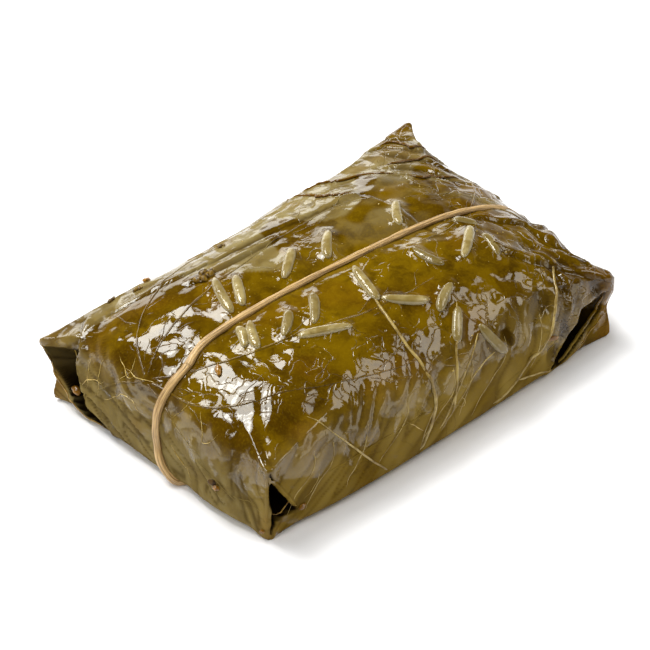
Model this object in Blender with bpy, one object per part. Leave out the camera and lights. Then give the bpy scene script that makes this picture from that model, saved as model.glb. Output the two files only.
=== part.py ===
"""A stuffed grape leaf: a flat parcel of cooked leaf round a rice filling, bound lengthwise by one thin stem.

The parcel is one solid. Its sides are round like a pillow's and run out into folded ears at the corners, with
the rice grains and the ribs of the leaf fused to it. The stem is a second solid, a closed loop in a groove
that it presses into the leaf. All sizes are in millimetres, up to the step that makes each mesh in metres.
"""

import math

import bmesh
import bpy
from mathutils import Matrix, Vector, noise

MM = 0.001

# The pillow: half sizes at its widest level (-x end, +x end, -y side, +y side), the height of that level,
# and how far the pillow reaches above and below it. The floor cuts the underside flat at z = 0.
NEAR_LENGTH = 41.85
FAR_LENGTH = 43.05
FRONT_WIDTH = 27.9
BACK_WIDTH = 27.3
WAIST_HEIGHT = 6.4
DOME_RISE = 16.2
BASE_DROP = 7.5

# Roundness of the pillow: 2 is a circle's curve, larger is squarer.
PLAN_SQUARENESS = 8.4
NEAR_END_SQUARENESS = 3.25
FAR_END_SQUARENESS = 2.4
SIDE_SQUARENESS = 2.5
BASE_SQUARENESS = 6.9

# Tips of the folded ears at the upper and lower corners. The keys are the signs of x and y.
UPPER_EARS = {
    (-1, -1): (-39.9, -25.9, 15.0),
    (-1, 1): (-43.1, 28.1, 13.1),
    (1, -1): (42.2, -26.1, 12.0),
    (1, 1): (42.5, 27.6, 15.0),
}
LOWER_EARS = {
    (-1, -1): (-39.9, -25.8, 0.3),
    (-1, 1): (-42.0, 26.1, 0.5),
    (1, -1): (41.0, -26.5, 0.3),
    (1, 1): (41.2, 25.9, 0.3),
}
EAR_PINCH = 1.0

# How far each ear's straight edges run back into the pillow: the smaller the number, the farther.
EAR_REACH = {(-1, -1): 3.0, (-1, 1): 2.5, (1, -1): 2.8, (1, 1): 2.2}

# Grid of the parcel's box before it is shaped.
CELLS = (40, 27, 9)

# Relief of the leaf: soft lumps of the rice inside, and pleats that gather towards the ears, die out just
# before their tips and lean as they go down.
LUMP_HEIGHT = 0.28
LUMP_SPACING = 5.5
PLEAT_HEIGHT = 0.45
PLEATS_PER_SIDE = 9
PLEAT_GATHER = 1.5
PLEAT_END = 6
PLEAT_LEAN = 2.0

# Folded pockets at the corners: the points round each wedge's mouth on the leaf, and its deepest point.
POCKETS = {
    "gusset": (((-39.4, -26.2, 14.6), (-33.8, -26.6, 4.2), (-38.4, -26.4, 4.0)), (-34.5, -17.8, 7.5)),
    "gusset_slit": (((-37.8, -26.3, 5.4), (-38.8, -26.3, 5.0), (-39.3, -26.1, 1.3)), (-37.0, -21.8, 4.2)),
    "ear_pocket": (((-42.1, 26.6, 11.8), (-41.9, 21.4, 12.6), (-41.8, 19.8, 6.8), (-41.8, 18.8, 2.8)),
                   (-35.0, 21.7, 8.0)),
    "ear_slot": (((-41.8, 20.2, 4.0), (-41.8, 18.8, 2.2), (-41.8, 12.2, 0.9), (-41.8, 12.0, 1.7)),
                 (-37.5, 17.2, 2.8)),
    "flap_slot": (((39.2, -25.8, 9.6), (38.1, -25.8, 6.8), (33.7, -26.2, 9.0), (28.2, -27.1, 5.0),
                   (25.2, -27.2, 1.4), (27.8, -27.2, 1.0)), (33.0, -19.8, 5.6)),
    "back_slot": (((38.7, 26.6, 11.6), (37.2, 26.6, 7.4), (32.7, 26.6, 8.0), (26.9, 26.8, 1.6),
                   (29.6, 26.8, 1.2)), (34.0, 19.7, 6.4)),
}
POCKET_OVERSHOOT = 1.35

# Ribs of the leaf: plan points of each rib's run over the top, and its radius.
RIBS = (
    (0.55, ((0.9, -5.8), (2.5, -12.8), (1.4, -19.8), (-2.0, -25.3), (-6.0, -27.2))),
    (0.60, ((33.5, -12.3), (31.4, -18.3), (27.4, -23.8), (21.9, -26.4), (14.4, -27.4))),
    (0.45, ((-35.5, 22.7), (-26.6, 18.7), (-16.6, 16.2), (-4.5, 16.7), (8.4, 20.2))),
    (0.45, ((22.4, 21.7), (26.4, 14.2), (33.5, 8.2), (38.5, 5.7))),
)
RIB_SINK = 0.5
RIB_POINTS = 14

# Rice grains on the leaf: x, y, heading in degrees, length.
GRAINS = (
    (-16.9, 6.2, 57, 7.8), (-19.6, 7.4, 67, 9.6), (-24.2, -2.7, 60, 5.2), (-22.6, -3.7, 59, 7.0),
    (-6.1, 5.6, 38, 8.2), (-16.8, -5.7, 40, 6.7), (2.4, 4.8, 46, 7.5), (-10.9, -6.0, 49, 7.9),
    (-13.2, -11.4, -22, 9.8), (0.2, -7.0, 75, 9.2), (3.1, -13.9, -38, 8.4), (17.6, 3.6, 51, 7.2),
    (21.6, -9.7, 39, 9.8), (25.1, -12.2, 71, 6.1), (25.8, -4.8, -52, 4.6), (13.1, -8.7, -77, 6.8),
    (9.4, -17.0, 29, 7.0), (7.7, -21.8, 50, 6.8), (12.6, -25.6, -67, 7.4),
)
GRAIN_WIDTH = 1.9
GRAIN_THICKNESS = 1.5
GRAIN_SINK = 0.4

# Mesh of one grain: sides round it, rings along it, and how blunt its ends are, 1 being a plain oval.
PELLET_SIDES = 6
PELLET_RINGS = 5
PELLET_BLUNTNESS = 0.8

# Bits of leaf stalk and herb stuck to the leaf: x, y, heading, length, width.
BITS = (
    (-17.4, 14.5, 10, 3.6, 2.2), (-8.9, 19.5, 40, 1.8, 1.3), (-25.7, 21.0, 20, 1.7, 1.2),
    (-29.8, 23.8, 70, 1.7, 1.2), (-31.6, -5.0, 50, 2.2, 1.2),
)

# The stem: its radius, the gap kept to the leaf, how far its centre stands above the leaf, and its height
# under the parcel. The route gives its y at each x, over the top from end to end and back underneath.
STEM_RADIUS = 0.65
STEM_GAP = 0.34
STEM_STAND = 0.25
STEM_FLOOR_HEIGHT = 0.75
STEM_TOP_ROUTE = ((-42.0, 0.4), (-33.0, 1.9), (-22.0, 1.5), (-8.0, 0.7), (8.0, -0.6), (24.0, -1.4), (42.0, -2.4))
STEM_BASE_ROUTE = ((-42.0, -7.2), (-20.0, -7.4), (0.0, -6.2), (20.0, -4.6), (42.0, -3.0))
STEM_POINTS = 76
END_STEPS = 24

# The valley that the stem presses into the leaf.
VALLEY_DEPTH = 0.5
VALLEY_DEPTH_FAR_END = 1.0
VALLEY_HALF_WIDTH = 2.4
VALLEY_DEEPENING = 6

# Mesh points nearer than this are welded, and a face below FLAT_BASE belongs to the flat base.
WELD = 0.005
FLAT_BASE = 0.001


def corner_blend(ears, u, v):
    """The point at (u, v) of the sheet stretched between four ear tips."""
    point = Vector((0.0, 0.0, 0.0))
    for (side_x, side_y), tip in ears.items():
        point += Vector(tip) * (1 + side_x * u) * (1 + side_y * v) / 4
    return point


def plan_distance(u, v):
    """How far (u, v) lies from the middle, 1 on the pillow's outline."""
    return (abs(u) ** PLAN_SQUARENESS + abs(v) ** PLAN_SQUARENESS) ** (1 / PLAN_SQUARENESS)


def upper_squareness(u, v):
    """Roundness of the top towards (u, v): that of an end or of a side, or a mixture near a corner."""
    end = NEAR_END_SQUARENESS if u < 0 else FAR_END_SQUARENESS
    along = (u / max(plan_distance(u, v), 1e-6)) ** 2
    return SIDE_SQUARENESS + (end - SIDE_SQUARENESS) * min(1.0, along)


def half_sizes(u, v):
    """The pillow's half length and half width in the quarter that holds (u, v)."""
    return NEAR_LENGTH if u < 0 else FAR_LENGTH, FRONT_WIDTH if v < 0 else BACK_WIDTH


def pillow_point(u, v, w):
    """Where a point of the unit box lies on the pillow."""
    squareness = BASE_SQUARENESS if w < 0 else upper_squareness(u, v)
    rise = BASE_DROP if w < 0 else DOME_RISE
    size = (plan_distance(u, v) ** squareness + abs(w) ** squareness) ** (1 / squareness)
    half_length, half_width = half_sizes(u, v)
    return Vector((half_length * u / size, half_width * v / size, WAIST_HEIGHT + rise * w / size))


def parcel_point(u, v, w):
    """Where a point of the unit box lies on the parcel: a pillow whose corners run out into ears."""
    eared = corner_blend(LOWER_EARS, u, v).lerp(corner_blend(UPPER_EARS, u, v), (w + 1) / 2)
    pinch = EAR_PINCH * (1 - w * w) ** 2
    eared.x -= pinch * math.copysign(1, u)
    eared.y -= pinch * math.copysign(1, v)
    reach = EAR_REACH[(-1 if u < 0 else 1, -1 if v < 0 else 1)]
    point = pillow_point(u, v, w).lerp(eared, (abs(u) * abs(v)) ** reach)
    point -= outward(point) * valley_depth(point, w)
    point.z = max(point.z, 0.0)
    return point


def outward(point):
    """Direction out of the pillow, seen from its side."""
    return Vector((point.x / NEAR_LENGTH, 0.0, (point.z - WAIST_HEIGHT) / DOME_RISE)).normalized()


def valley_depth(point, w):
    """How deep the stem has pressed the leaf in at a point."""
    route = STEM_BASE_ROUTE if w < 0 else STEM_TOP_ROUTE
    across = (point.y - lookup(route, point.x)) / VALLEY_HALF_WIDTH
    far = max(0.0, point.x / FAR_LENGTH) ** VALLEY_DEEPENING
    depth = VALLEY_DEPTH + (VALLEY_DEPTH_FAR_END - VALLEY_DEPTH) * far
    return depth * math.exp(-across * across)


def top_point(x, y):
    """The point of the pillow's top at plan position (x, y)."""
    half_length, half_width = half_sizes(x, y)
    u = x / half_length
    v = y / half_width
    squareness = upper_squareness(u, v)
    fall = max(0.0, 1 - plan_distance(u, v) ** squareness)
    return Vector((x, y, WAIST_HEIGHT + DOME_RISE * fall ** (1 / squareness)))


def top_frame(x, y, heading):
    """A matrix that stands on the top at (x, y), its z along the surface normal and its x along the heading."""
    step = 0.2
    middle = top_point(x, y)
    slope_x = (top_point(x + step, y) - top_point(x - step, y)).normalized()
    slope_y = (top_point(x, y + step) - top_point(x, y - step)).normalized()
    normal = slope_x.cross(slope_y).normalized()
    forward = slope_x * math.cos(heading) + slope_y * math.sin(heading)
    forward = (forward - normal * forward.dot(normal)).normalized()
    side = normal.cross(forward)
    frame = Matrix((forward, side, normal)).transposed().to_4x4()
    frame.translation = middle
    return frame


def relief(point, u, v, w):
    """Height of the leaf's lumps and pleats above the smooth parcel, fading out towards the base."""
    lumps = LUMP_HEIGHT * noise.noise(point / LUMP_SPACING)
    cornered = abs(u) * abs(v)
    gather = cornered ** PLEAT_GATHER * (1 - cornered ** PLEAT_END)
    run = u if abs(v) > abs(u) else v
    wave = math.sin(math.pi * PLEATS_PER_SIDE * run + PLEAT_LEAN * point.z / WAIST_HEIGHT)
    pleats = PLEAT_HEIGHT * gather * wave
    return (lumps + pleats) * min(1.0, point.z / WAIST_HEIGHT)


def gridded_box():
    """A unit box cut into a grid, as a bmesh."""
    shape = bmesh.new()
    bmesh.ops.create_cube(shape, size=2.0)
    for axis, cells in enumerate(CELLS):
        along = [edge for edge in shape.edges if abs(edge.verts[0].co[axis] - edge.verts[1].co[axis]) > 1.0]
        bmesh.ops.subdivide_edges(shape, edges=along, cuts=cells - 1, use_grid_fill=True)
    return shape


def make_object(name, shape, collection):
    """Turns a bmesh in millimetres into an object in metres."""
    bmesh.ops.scale(shape, vec=(MM, MM, MM), verts=shape.verts)
    mesh = bpy.data.meshes.new(name)
    shape.to_mesh(mesh)
    shape.free()
    thing = bpy.data.objects.new(name, mesh)
    collection.objects.link(thing)
    return thing


def hide_helper(thing):
    thing.hide_render = True
    thing.display_type = "WIRE"


def plain_parcel(collection):
    """The parcel before anything is cut from it or fused to it."""
    shape = gridded_box()
    places = {vert: vert.co.copy() for vert in shape.verts}
    for vert, place in places.items():
        vert.co = parcel_point(*place)
    shape.normal_update()
    for vert, place in places.items():
        vert.co += vert.normal * relief(vert.co, *place)
        vert.co.z = max(vert.co.z, 0.0)
    return make_object("leaf_parcel", shape, collection)


def pocket_cutter(name, mouth, deepest, collection):
    """A wedge from the deepest point out through the mouth."""
    shape = bmesh.new()
    deepest = Vector(deepest)
    shape.verts.new(deepest)
    for corner in mouth:
        shape.verts.new(deepest.lerp(Vector(corner), POCKET_OVERSHOOT))
    bmesh.ops.convex_hull(shape, input=shape.verts)
    hide_helper(make_object(name, shape, collection))


def pellet(name, frame, length, width, height, collection):
    """A rice grain or a bit of herb: a coarse ball, blunt at its ends, stretched along its heading."""
    shape = bmesh.new()
    bmesh.ops.create_uvsphere(shape, u_segments=PELLET_SIDES, v_segments=PELLET_RINGS, radius=0.5)
    for vert in shape.verts:
        vert.co.z = math.copysign(0.5 * abs(2 * vert.co.z) ** PELLET_BLUNTNESS, vert.co.z)
    stretch = Matrix.Diagonal((height, width, length, 1))
    lie_down = Matrix.Rotation(math.pi / 2, 4, "Y")
    bmesh.ops.transform(shape, matrix=frame @ lie_down @ stretch, verts=shape.verts)
    hide_helper(make_object(name, shape, collection))


def smooth_route(points, count, closed=False):
    """Evenly spaced points along a smooth curve through the given ones."""
    guide = bpy.data.curves.new("guide", "CURVE")
    guide.dimensions = "3D"
    guide.resolution_u = 16
    spline = guide.splines.new("BEZIER")
    spline.bezier_points.add(len(points) - 1)
    spline.use_cyclic_u = closed
    for knot, point in zip(spline.bezier_points, points):
        knot.co = point
        knot.handle_left_type = "AUTO"
        knot.handle_right_type = "AUTO"
    holder = bpy.data.objects.new("guide", guide)
    bpy.context.scene.collection.objects.link(holder)
    bpy.context.view_layer.update()
    run = [vert.co.copy() for vert in holder.to_mesh().vertices]
    holder.to_mesh_clear()
    bpy.data.objects.remove(holder, do_unlink=True)
    bpy.data.curves.remove(guide)
    if closed:
        run.append(run[0].copy())
    lengths = [0.0]
    for start, end in zip(run, run[1:]):
        lengths.append(lengths[-1] + (end - start).length)
    even = []
    leg = 0
    for index in range(count):
        want = lengths[-1] * index / (count if closed else count - 1)
        while leg < len(run) - 2 and lengths[leg + 1] < want:
            leg += 1
        share = (want - lengths[leg]) / max(lengths[leg + 1] - lengths[leg], 1e-9)
        even.append(run[leg].lerp(run[leg + 1], min(share, 1.0)))
    return even


def tube(name, points, radius, resolution, closed, collection):
    """A round tube along the points, as a mesh object."""
    curve = bpy.data.curves.new(name, "CURVE")
    curve.dimensions = "3D"
    curve.bevel_depth = radius * MM
    curve.bevel_resolution = resolution
    curve.use_fill_caps = True
    spline = curve.splines.new("POLY")
    spline.points.add(len(points) - 1)
    spline.use_cyclic_u = closed
    for knot, point in zip(spline.points, points):
        knot.co = (*(point * MM), 1.0)
    holder = bpy.data.objects.new(name + "_curve", curve)
    bpy.context.scene.collection.objects.link(holder)
    evaluated = holder.evaluated_get(bpy.context.evaluated_depsgraph_get())
    mesh = bpy.data.meshes.new_from_object(evaluated)
    bpy.data.objects.remove(holder, do_unlink=True)
    shape = bmesh.new()
    shape.from_mesh(mesh)
    bmesh.ops.remove_doubles(shape, verts=shape.verts, dist=WELD * MM)
    bmesh.ops.recalc_face_normals(shape, faces=shape.faces)
    shape.to_mesh(mesh)
    shape.free()
    mesh.name = name
    thing = bpy.data.objects.new(name, mesh)
    collection.objects.link(thing)
    return thing


def lookup(route, x):
    """The y of a route at x, on a smooth curve through its points."""
    x = min(max(x, route[0][0]), route[-1][0])
    leg = max(index for index, (start, _) in enumerate(route[:-1]) if start <= x)
    before, start, end, after = (route[min(max(leg + step, 0), len(route) - 1)] for step in (-1, 0, 1, 2))
    width = end[0] - start[0]
    share = (x - start[0]) / width
    slope_in = (end[1] - before[1]) / (end[0] - before[0]) * width
    slope_out = (after[1] - start[1]) / (after[0] - start[0]) * width
    rise = start[1] + slope_in * share
    bend = 3 * (end[1] - start[1]) - 2 * slope_in - slope_out
    return rise + bend * share ** 2 + (slope_in + slope_out - 2 * (end[1] - start[1])) * share ** 3


def stem_route():
    """Centre points of the stem: over the top, down the far end, back under the base and up the near end."""
    knots = []
    for index in range(END_STEPS + 1):
        share = index / END_STEPS
        knots.append((-1 + 2 * share, lookup(STEM_TOP_ROUTE, (2 * share - 1) * NEAR_LENGTH), 1.0))
    for index in range(1, END_STEPS // 3):
        share = 3 * index / END_STEPS
        y = STEM_TOP_ROUTE[-1][1] * (1 - share) + STEM_BASE_ROUTE[-1][1] * share
        knots.append((1.0, y, 1 - 2 * share))
    for index in range(END_STEPS + 1):
        share = index / END_STEPS
        knots.append((1 - 2 * share, lookup(STEM_BASE_ROUTE, (1 - 2 * share) * NEAR_LENGTH), -1.0))
    for index in range(1, END_STEPS // 3):
        share = 3 * index / END_STEPS
        y = STEM_BASE_ROUTE[0][1] * (1 - share) ** 3 + STEM_TOP_ROUTE[0][1] * (1 - (1 - share) ** 3)
        knots.append((-1.0, y, 2 * share - 1))
    points = []
    for u, y, w in knots:
        point = parcel_point(u, y / FRONT_WIDTH, w)
        points.append(point + outward(point) * STEM_STAND)
    route = smooth_route(points, STEM_POINTS, closed=True)
    for point in route:
        point.z = max(point.z, STEM_FLOOR_HEIGHT)
    return route


def apply_modifiers(thing):
    """Makes the object's mesh what its modifiers show, and takes them off."""
    evaluated = thing.evaluated_get(bpy.context.evaluated_depsgraph_get())
    mesh = bpy.data.meshes.new_from_object(evaluated)
    thing.modifiers.clear()
    thing.data = mesh


def combine(thing, operation, helpers, solver="EXACT"):
    """One Boolean of the object with a whole collection, whose objects are then removed."""
    boolean = thing.modifiers.new(operation.lower(), "BOOLEAN")
    boolean.operation = operation
    boolean.operand_type = "COLLECTION"
    boolean.collection = helpers
    boolean.solver = solver
    apply_modifiers(thing)
    for helper in list(helpers.objects):
        bpy.data.objects.remove(helper, do_unlink=True)
    bpy.data.collections.remove(helpers)


def helper_collection(name):
    collection = bpy.data.collections.new(name)
    bpy.context.scene.collection.children.link(collection)
    return collection


def largest_piece(thing):
    """Keeps the biggest closed piece of the mesh, without scraps or slivers, with few faces on its flat base."""
    shape = bmesh.new()
    shape.from_mesh(thing.data)
    bmesh.ops.remove_doubles(shape, verts=shape.verts, dist=WELD * MM)
    seen = set()
    pieces = []
    for start in shape.verts:
        if start in seen:
            continue
        piece = []
        queue = [start]
        seen.add(start)
        while queue:
            vert = queue.pop()
            piece.append(vert)
            for edge in vert.link_edges:
                other = edge.other_vert(vert)
                if other not in seen:
                    seen.add(other)
                    queue.append(other)
        pieces.append(piece)
    pieces.sort(key=len)
    for scrap in pieces[:-1]:
        bmesh.ops.delete(shape, geom=scrap, context="VERTS")
    base = [face for face in shape.faces if max(vert.co.z for vert in face.verts) < FLAT_BASE * MM]
    base_edges = {edge for face in base for edge in face.edges}
    base_verts = {vert for face in base for vert in face.verts}
    bmesh.ops.dissolve_limit(shape, angle_limit=0.001, verts=list(base_verts), edges=list(base_edges))
    bmesh.ops.triangulate(shape, faces=shape.faces)
    shape.to_mesh(thing.data)
    shape.free()


def finish(name, colour, roughness):
    material = bpy.data.materials.new(name)
    material.use_nodes = True
    shader = material.node_tree.nodes["Principled BSDF"]
    shader.inputs["Base Color"].default_value = (*colour, 1.0)
    shader.inputs["Roughness"].default_value = roughness
    shader.inputs["Metallic"].default_value = 0.0
    return material


def leaf_parcel(collection, route):
    parcel = plain_parcel(collection)

    pockets = helper_collection("pockets")
    for name, (mouth, deepest) in POCKETS.items():
        pocket_cutter(name, mouth, deepest, pockets)
    # EXACT leaves doubled edges where these flat wedges graze the curved leaf.
    combine(parcel, "DIFFERENCE", pockets, "MANIFOLD")

    fused = helper_collection("fused")
    for index, (radius, plan) in enumerate(RIBS):
        run = [top_point(x, y) for x, y in plan]
        points = smooth_route(run, RIB_POINTS)
        seated = [top_point(p.x, p.y) - Vector((0, 0, RIB_SINK * radius)) for p in points]
        hide_helper(tube(f"rib_{index}", seated, radius, 1, False, fused))
    for index, (x, y, heading, length) in enumerate(GRAINS):
        lift = Matrix.Translation((0, 0, GRAIN_THICKNESS / 2 - GRAIN_SINK))
        frame = top_frame(x, y, math.radians(heading)) @ lift
        pellet(f"grain_{index}", frame, length, GRAIN_WIDTH, GRAIN_THICKNESS, fused)
    for index, (x, y, heading, length, width) in enumerate(BITS):
        frame = top_frame(x, y, math.radians(heading))
        pellet(f"bit_{index}", frame, length, width, width, fused)
    combine(parcel, "UNION", fused)

    grooves = helper_collection("grooves")
    hide_helper(tube("stem_groove", route, STEM_RADIUS + STEM_GAP, 2, True, grooves))
    combine(parcel, "DIFFERENCE", grooves)
    largest_piece(parcel)
    parcel.data.materials.clear()
    parcel.data.materials.append(finish("cooked_leaf", (0.145, 0.095, 0.009), 0.28))
    return parcel


def stem_tie(collection, route):
    stem = tube("stem_tie", route, STEM_RADIUS, 2, True, collection)
    stem.data.materials.append(finish("dried_stem", (0.51, 0.31, 0.12), 0.45))
    return stem


def base_centre(pieces):
    """The middle of the rectangle that the pieces cover on the floor."""
    spots = [vert.co for piece in pieces for vert in piece.data.vertices]
    middle = Vector((0.0, 0.0, 0.0))
    for axis in (0, 1):
        reach = [spot[axis] for spot in spots]
        middle[axis] = (min(reach) + max(reach)) / 2
    return middle


def build():
    for old in list(bpy.data.objects):
        bpy.data.objects.remove(old, do_unlink=True)
    food = helper_collection("stuffed_grape_leaf")
    placing = bpy.data.objects.new("parcel_frame", None)
    food.objects.link(placing)
    route = stem_route()
    pieces = (leaf_parcel(food, route), stem_tie(food, route))
    for piece in pieces:
        piece.parent = placing
        piece.data.shade_smooth()
    placing.location = -base_centre(pieces)


build()
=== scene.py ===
# %% [markdown]
# # A stuffed grape leaf
# A cooked vine leaf is folded like a parcel round rice and bound lengthwise with one dried stem.
# The CAD solids give its size and where everything sits. This lesson dresses them: a wet, wrinkled
# leaf skin with veins, real grains of rice, a fibrous stem and the small scraps that cling to food
# out of a pot.

import math

import bpy
import numpy as np
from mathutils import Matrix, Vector, noise
from mathutils.bvhtree import BVHTree


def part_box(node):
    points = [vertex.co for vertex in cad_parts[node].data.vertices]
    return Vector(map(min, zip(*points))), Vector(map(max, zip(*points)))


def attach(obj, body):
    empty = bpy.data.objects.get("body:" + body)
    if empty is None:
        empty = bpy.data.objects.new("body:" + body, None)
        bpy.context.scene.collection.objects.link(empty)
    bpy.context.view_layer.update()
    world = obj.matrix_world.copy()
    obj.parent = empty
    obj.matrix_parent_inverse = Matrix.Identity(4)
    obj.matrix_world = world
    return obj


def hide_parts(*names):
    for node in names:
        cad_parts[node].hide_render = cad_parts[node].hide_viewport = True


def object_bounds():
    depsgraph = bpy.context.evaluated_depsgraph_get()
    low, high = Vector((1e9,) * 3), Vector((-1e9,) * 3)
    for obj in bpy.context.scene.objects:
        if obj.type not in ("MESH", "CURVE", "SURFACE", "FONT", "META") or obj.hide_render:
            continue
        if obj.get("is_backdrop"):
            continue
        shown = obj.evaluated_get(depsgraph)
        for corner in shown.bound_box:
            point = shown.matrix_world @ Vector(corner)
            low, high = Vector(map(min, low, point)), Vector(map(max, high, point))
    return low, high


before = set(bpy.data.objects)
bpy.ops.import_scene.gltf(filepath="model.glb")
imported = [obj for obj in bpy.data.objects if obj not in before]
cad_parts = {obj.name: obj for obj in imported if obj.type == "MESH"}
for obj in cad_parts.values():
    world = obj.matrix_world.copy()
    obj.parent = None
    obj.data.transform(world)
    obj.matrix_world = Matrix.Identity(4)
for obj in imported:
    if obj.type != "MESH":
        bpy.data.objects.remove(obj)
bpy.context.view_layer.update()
leaf_low, leaf_high = (np.array(corner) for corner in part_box("leaf_parcel"))

# %% [markdown]
# ## Working in millimetres
# Blender works in metres, but a grain of rice is easier to think of as 7 mm. Every shape below is
# drawn in millimetres round the middle of the leaf solid's base, then scaled to the size of the
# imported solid, so the dressing fits whatever was packed.

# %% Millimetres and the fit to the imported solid
MM = 0.001
DRAWN_SIZE = np.array((86.03, 56.04, 23.58))
FIT = (leaf_high - leaf_low) / MM / DRAWN_SIZE
BASE_MIDDLE = np.array(((leaf_low[0] + leaf_high[0]) / 2, (leaf_low[1] + leaf_high[1]) / 2, leaf_low[2]))


def to_metres(points):
    """Drawn millimetres to metres in the object's own frame."""
    return np.asarray(points) * FIT * MM + BASE_MIDDLE


print("fit of the drawing to the solid:", FIT.round(4))

# %% [markdown]
# ## From points to an object
# All the shapes here are worked out as arrays of points and faces. One helper turns such arrays
# into a mesh object, smooth shaded, with its material, hangs it on the body it rides on and hides
# the CAD node it replaces. LEAF and STEM are the two CAD nodes, each paired with a slot name.

# %% Points and faces to an object
LEAF, STEM = ("leaf_parcel", "cooked_leaf"), ("stem_tie", "dried_stem")


def stand(name, data):
    """An object in the scene for a mesh, a lamp or a camera."""
    made = bpy.data.objects.new(name, data)
    bpy.context.scene.collection.objects.link(made)
    return made


def make_piece(name, points, faces, material, replaced, slot, numbers=None):
    """Puts a smooth mesh object in place. numbers maps attribute names to one value a point."""
    mesh = bpy.data.meshes.new(name)
    mesh.from_pydata(to_metres(points).tolist(), [], [tuple(face) for face in faces])
    mesh.polygons.foreach_set("use_smooth", [True] * len(mesh.polygons))
    for title, values in (numbers or {}).items():
        values = np.asarray(values, dtype=np.float32)
        kind = "FLOAT" if values.ndim == 1 else "FLOAT_VECTOR"
        layer = mesh.attributes.new(title, kind, "POINT")
        layer.data.foreach_set("value" if values.ndim == 1 else "vector", values.ravel())
    mesh.materials.append(material)
    mesh.validate()
    piece = stand(name, mesh)
    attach(piece, "root")
    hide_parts(replaced)
    print(f"{name}: {len(mesh.polygons)} faces")


print("pieces stand for", LEAF[0], "or", STEM[0])

# %% [markdown]
# ## Noise on demand
# Food is never even. Blender's own noise gives a smooth random height for any point in space. Its
# spacing says how far apart the bumps are, and a stretch along one direction turns bumps into
# folds.

# %% Noise helpers
def bumps(points, spacing, seed=0):
    """Smooth heights between about -1 and 1 that vary over the given spacing, a number or one per axis."""
    shifted = np.asarray(points) / np.asarray(spacing) + 31.7 * seed
    return np.array([noise.noise(point) for point in shifted.tolist()])


def creases(points, spacing, seed=0):
    """Heights from 0 to 1: sharp valleys where the noise changes sign, round crowns between them."""
    return np.abs(bumps(points, spacing, seed)) * 2


def crumple(points, spacing, seed=0, ways=4):
    """Heights from about -1 to 1 made of flat panels between sharp folds, like pressed paper."""
    points = np.asarray(points)
    drift = np.stack([bumps(points, 1.6 * spacing, seed + axis) for axis in range(3)], axis=1)
    height = np.zeros(len(points))
    for number in range(ways):
        turn = 2.4 * number + seed
        way = np.array((math.cos(turn), math.sin(turn), 0.6 * math.sin(1.7 * number + seed)))
        phase = (points + 0.35 * spacing * drift) @ way / (spacing * (1 + 0.3 * number)) + 0.37 * number
        height += 4 * abs(phase - np.floor(phase) - 0.5) - 1
    return height / ways


def smooth_step(values, low, high):
    """Shares from 0 at low to 1 at high, with soft shoulders."""
    share = np.clip((values - low) / (high - low), 0, 1)
    return share * share * (3 - 2 * share)


def unit(vectors):
    """The same directions, each one long."""
    return vectors / np.maximum(np.linalg.norm(vectors, axis=1, keepdims=True), 1e-12)


print("four heights 2 mm apart, with bumps 5 mm apart:", bumps([(x, 0, 0) for x in (0, 2, 4, 6)], 5).round(2))

# %% [markdown]
# ## The pillow shape
# A leaf parcel is a pillow: flat below, domed above, with corners that run out into folded ears.
# Points on the surface of a unit box are moved onto that shape. A squareness of 2 is a circle's
# curve and a larger one is squarer, so one formula draws the round sides and the nearly square
# plan. These are the same formulas and sizes as the solid's.

# %% The pillow shape
NEAR_LENGTH, FAR_LENGTH = 41.85, 43.05
FRONT_WIDTH, BACK_WIDTH = 27.9, 27.3
WAIST_HEIGHT, DOME_RISE, BASE_DROP = 6.4, 16.2, 7.5
PLAN_SQUARENESS, BASE_SQUARENESS = 8.4, 6.9
NEAR_END_SQUARENESS, FAR_END_SQUARENESS, SIDE_SQUARENESS = 3.25, 2.4, 2.5
UPPER_EARS = {(-1, -1): (-39.9, -25.9, 15.0), (-1, 1): (-43.1, 28.1, 13.1),
              (1, -1): (42.2, -26.1, 12.0), (1, 1): (42.5, 27.6, 15.0)}
LOWER_EARS = {(-1, -1): (-39.9, -25.8, 0.3), (-1, 1): (-42.0, 26.1, 0.5),
              (1, -1): (41.0, -26.5, 0.3), (1, 1): (41.2, 25.9, 0.3)}
EAR_REACH = {(-1, -1): 3.0, (-1, 1): 2.5, (1, -1): 2.8, (1, 1): 2.2}
EAR_PINCH = 1.0


def corner_blend(ears, u, v):
    """Points of the sheet stretched between four ear tips."""
    return sum(np.outer((1 + side_x * u) * (1 + side_y * v) / 4, tip)
               for (side_x, side_y), tip in ears.items())


def pillow_points(u, v, w):
    """Where points of the unit box lie on the plain pillow."""
    plan = (abs(u) ** PLAN_SQUARENESS + abs(v) ** PLAN_SQUARENESS) ** (1 / PLAN_SQUARENESS)
    end = np.where(u < 0, NEAR_END_SQUARENESS, FAR_END_SQUARENESS)
    share = np.minimum(1, (u / np.maximum(plan, 1e-6)) ** 2)
    squareness = np.where(w < 0, BASE_SQUARENESS, SIDE_SQUARENESS + (end - SIDE_SQUARENESS) * share)
    rise = np.where(w < 0, BASE_DROP, DOME_RISE)
    size = (plan ** squareness + abs(w) ** squareness) ** (1 / squareness)
    x = np.where(u < 0, NEAR_LENGTH, FAR_LENGTH) * u / size
    y = np.where(v < 0, FRONT_WIDTH, BACK_WIDTH) * v / size
    return np.stack((x, y, WAIST_HEIGHT + rise * w / size), axis=1)


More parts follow.
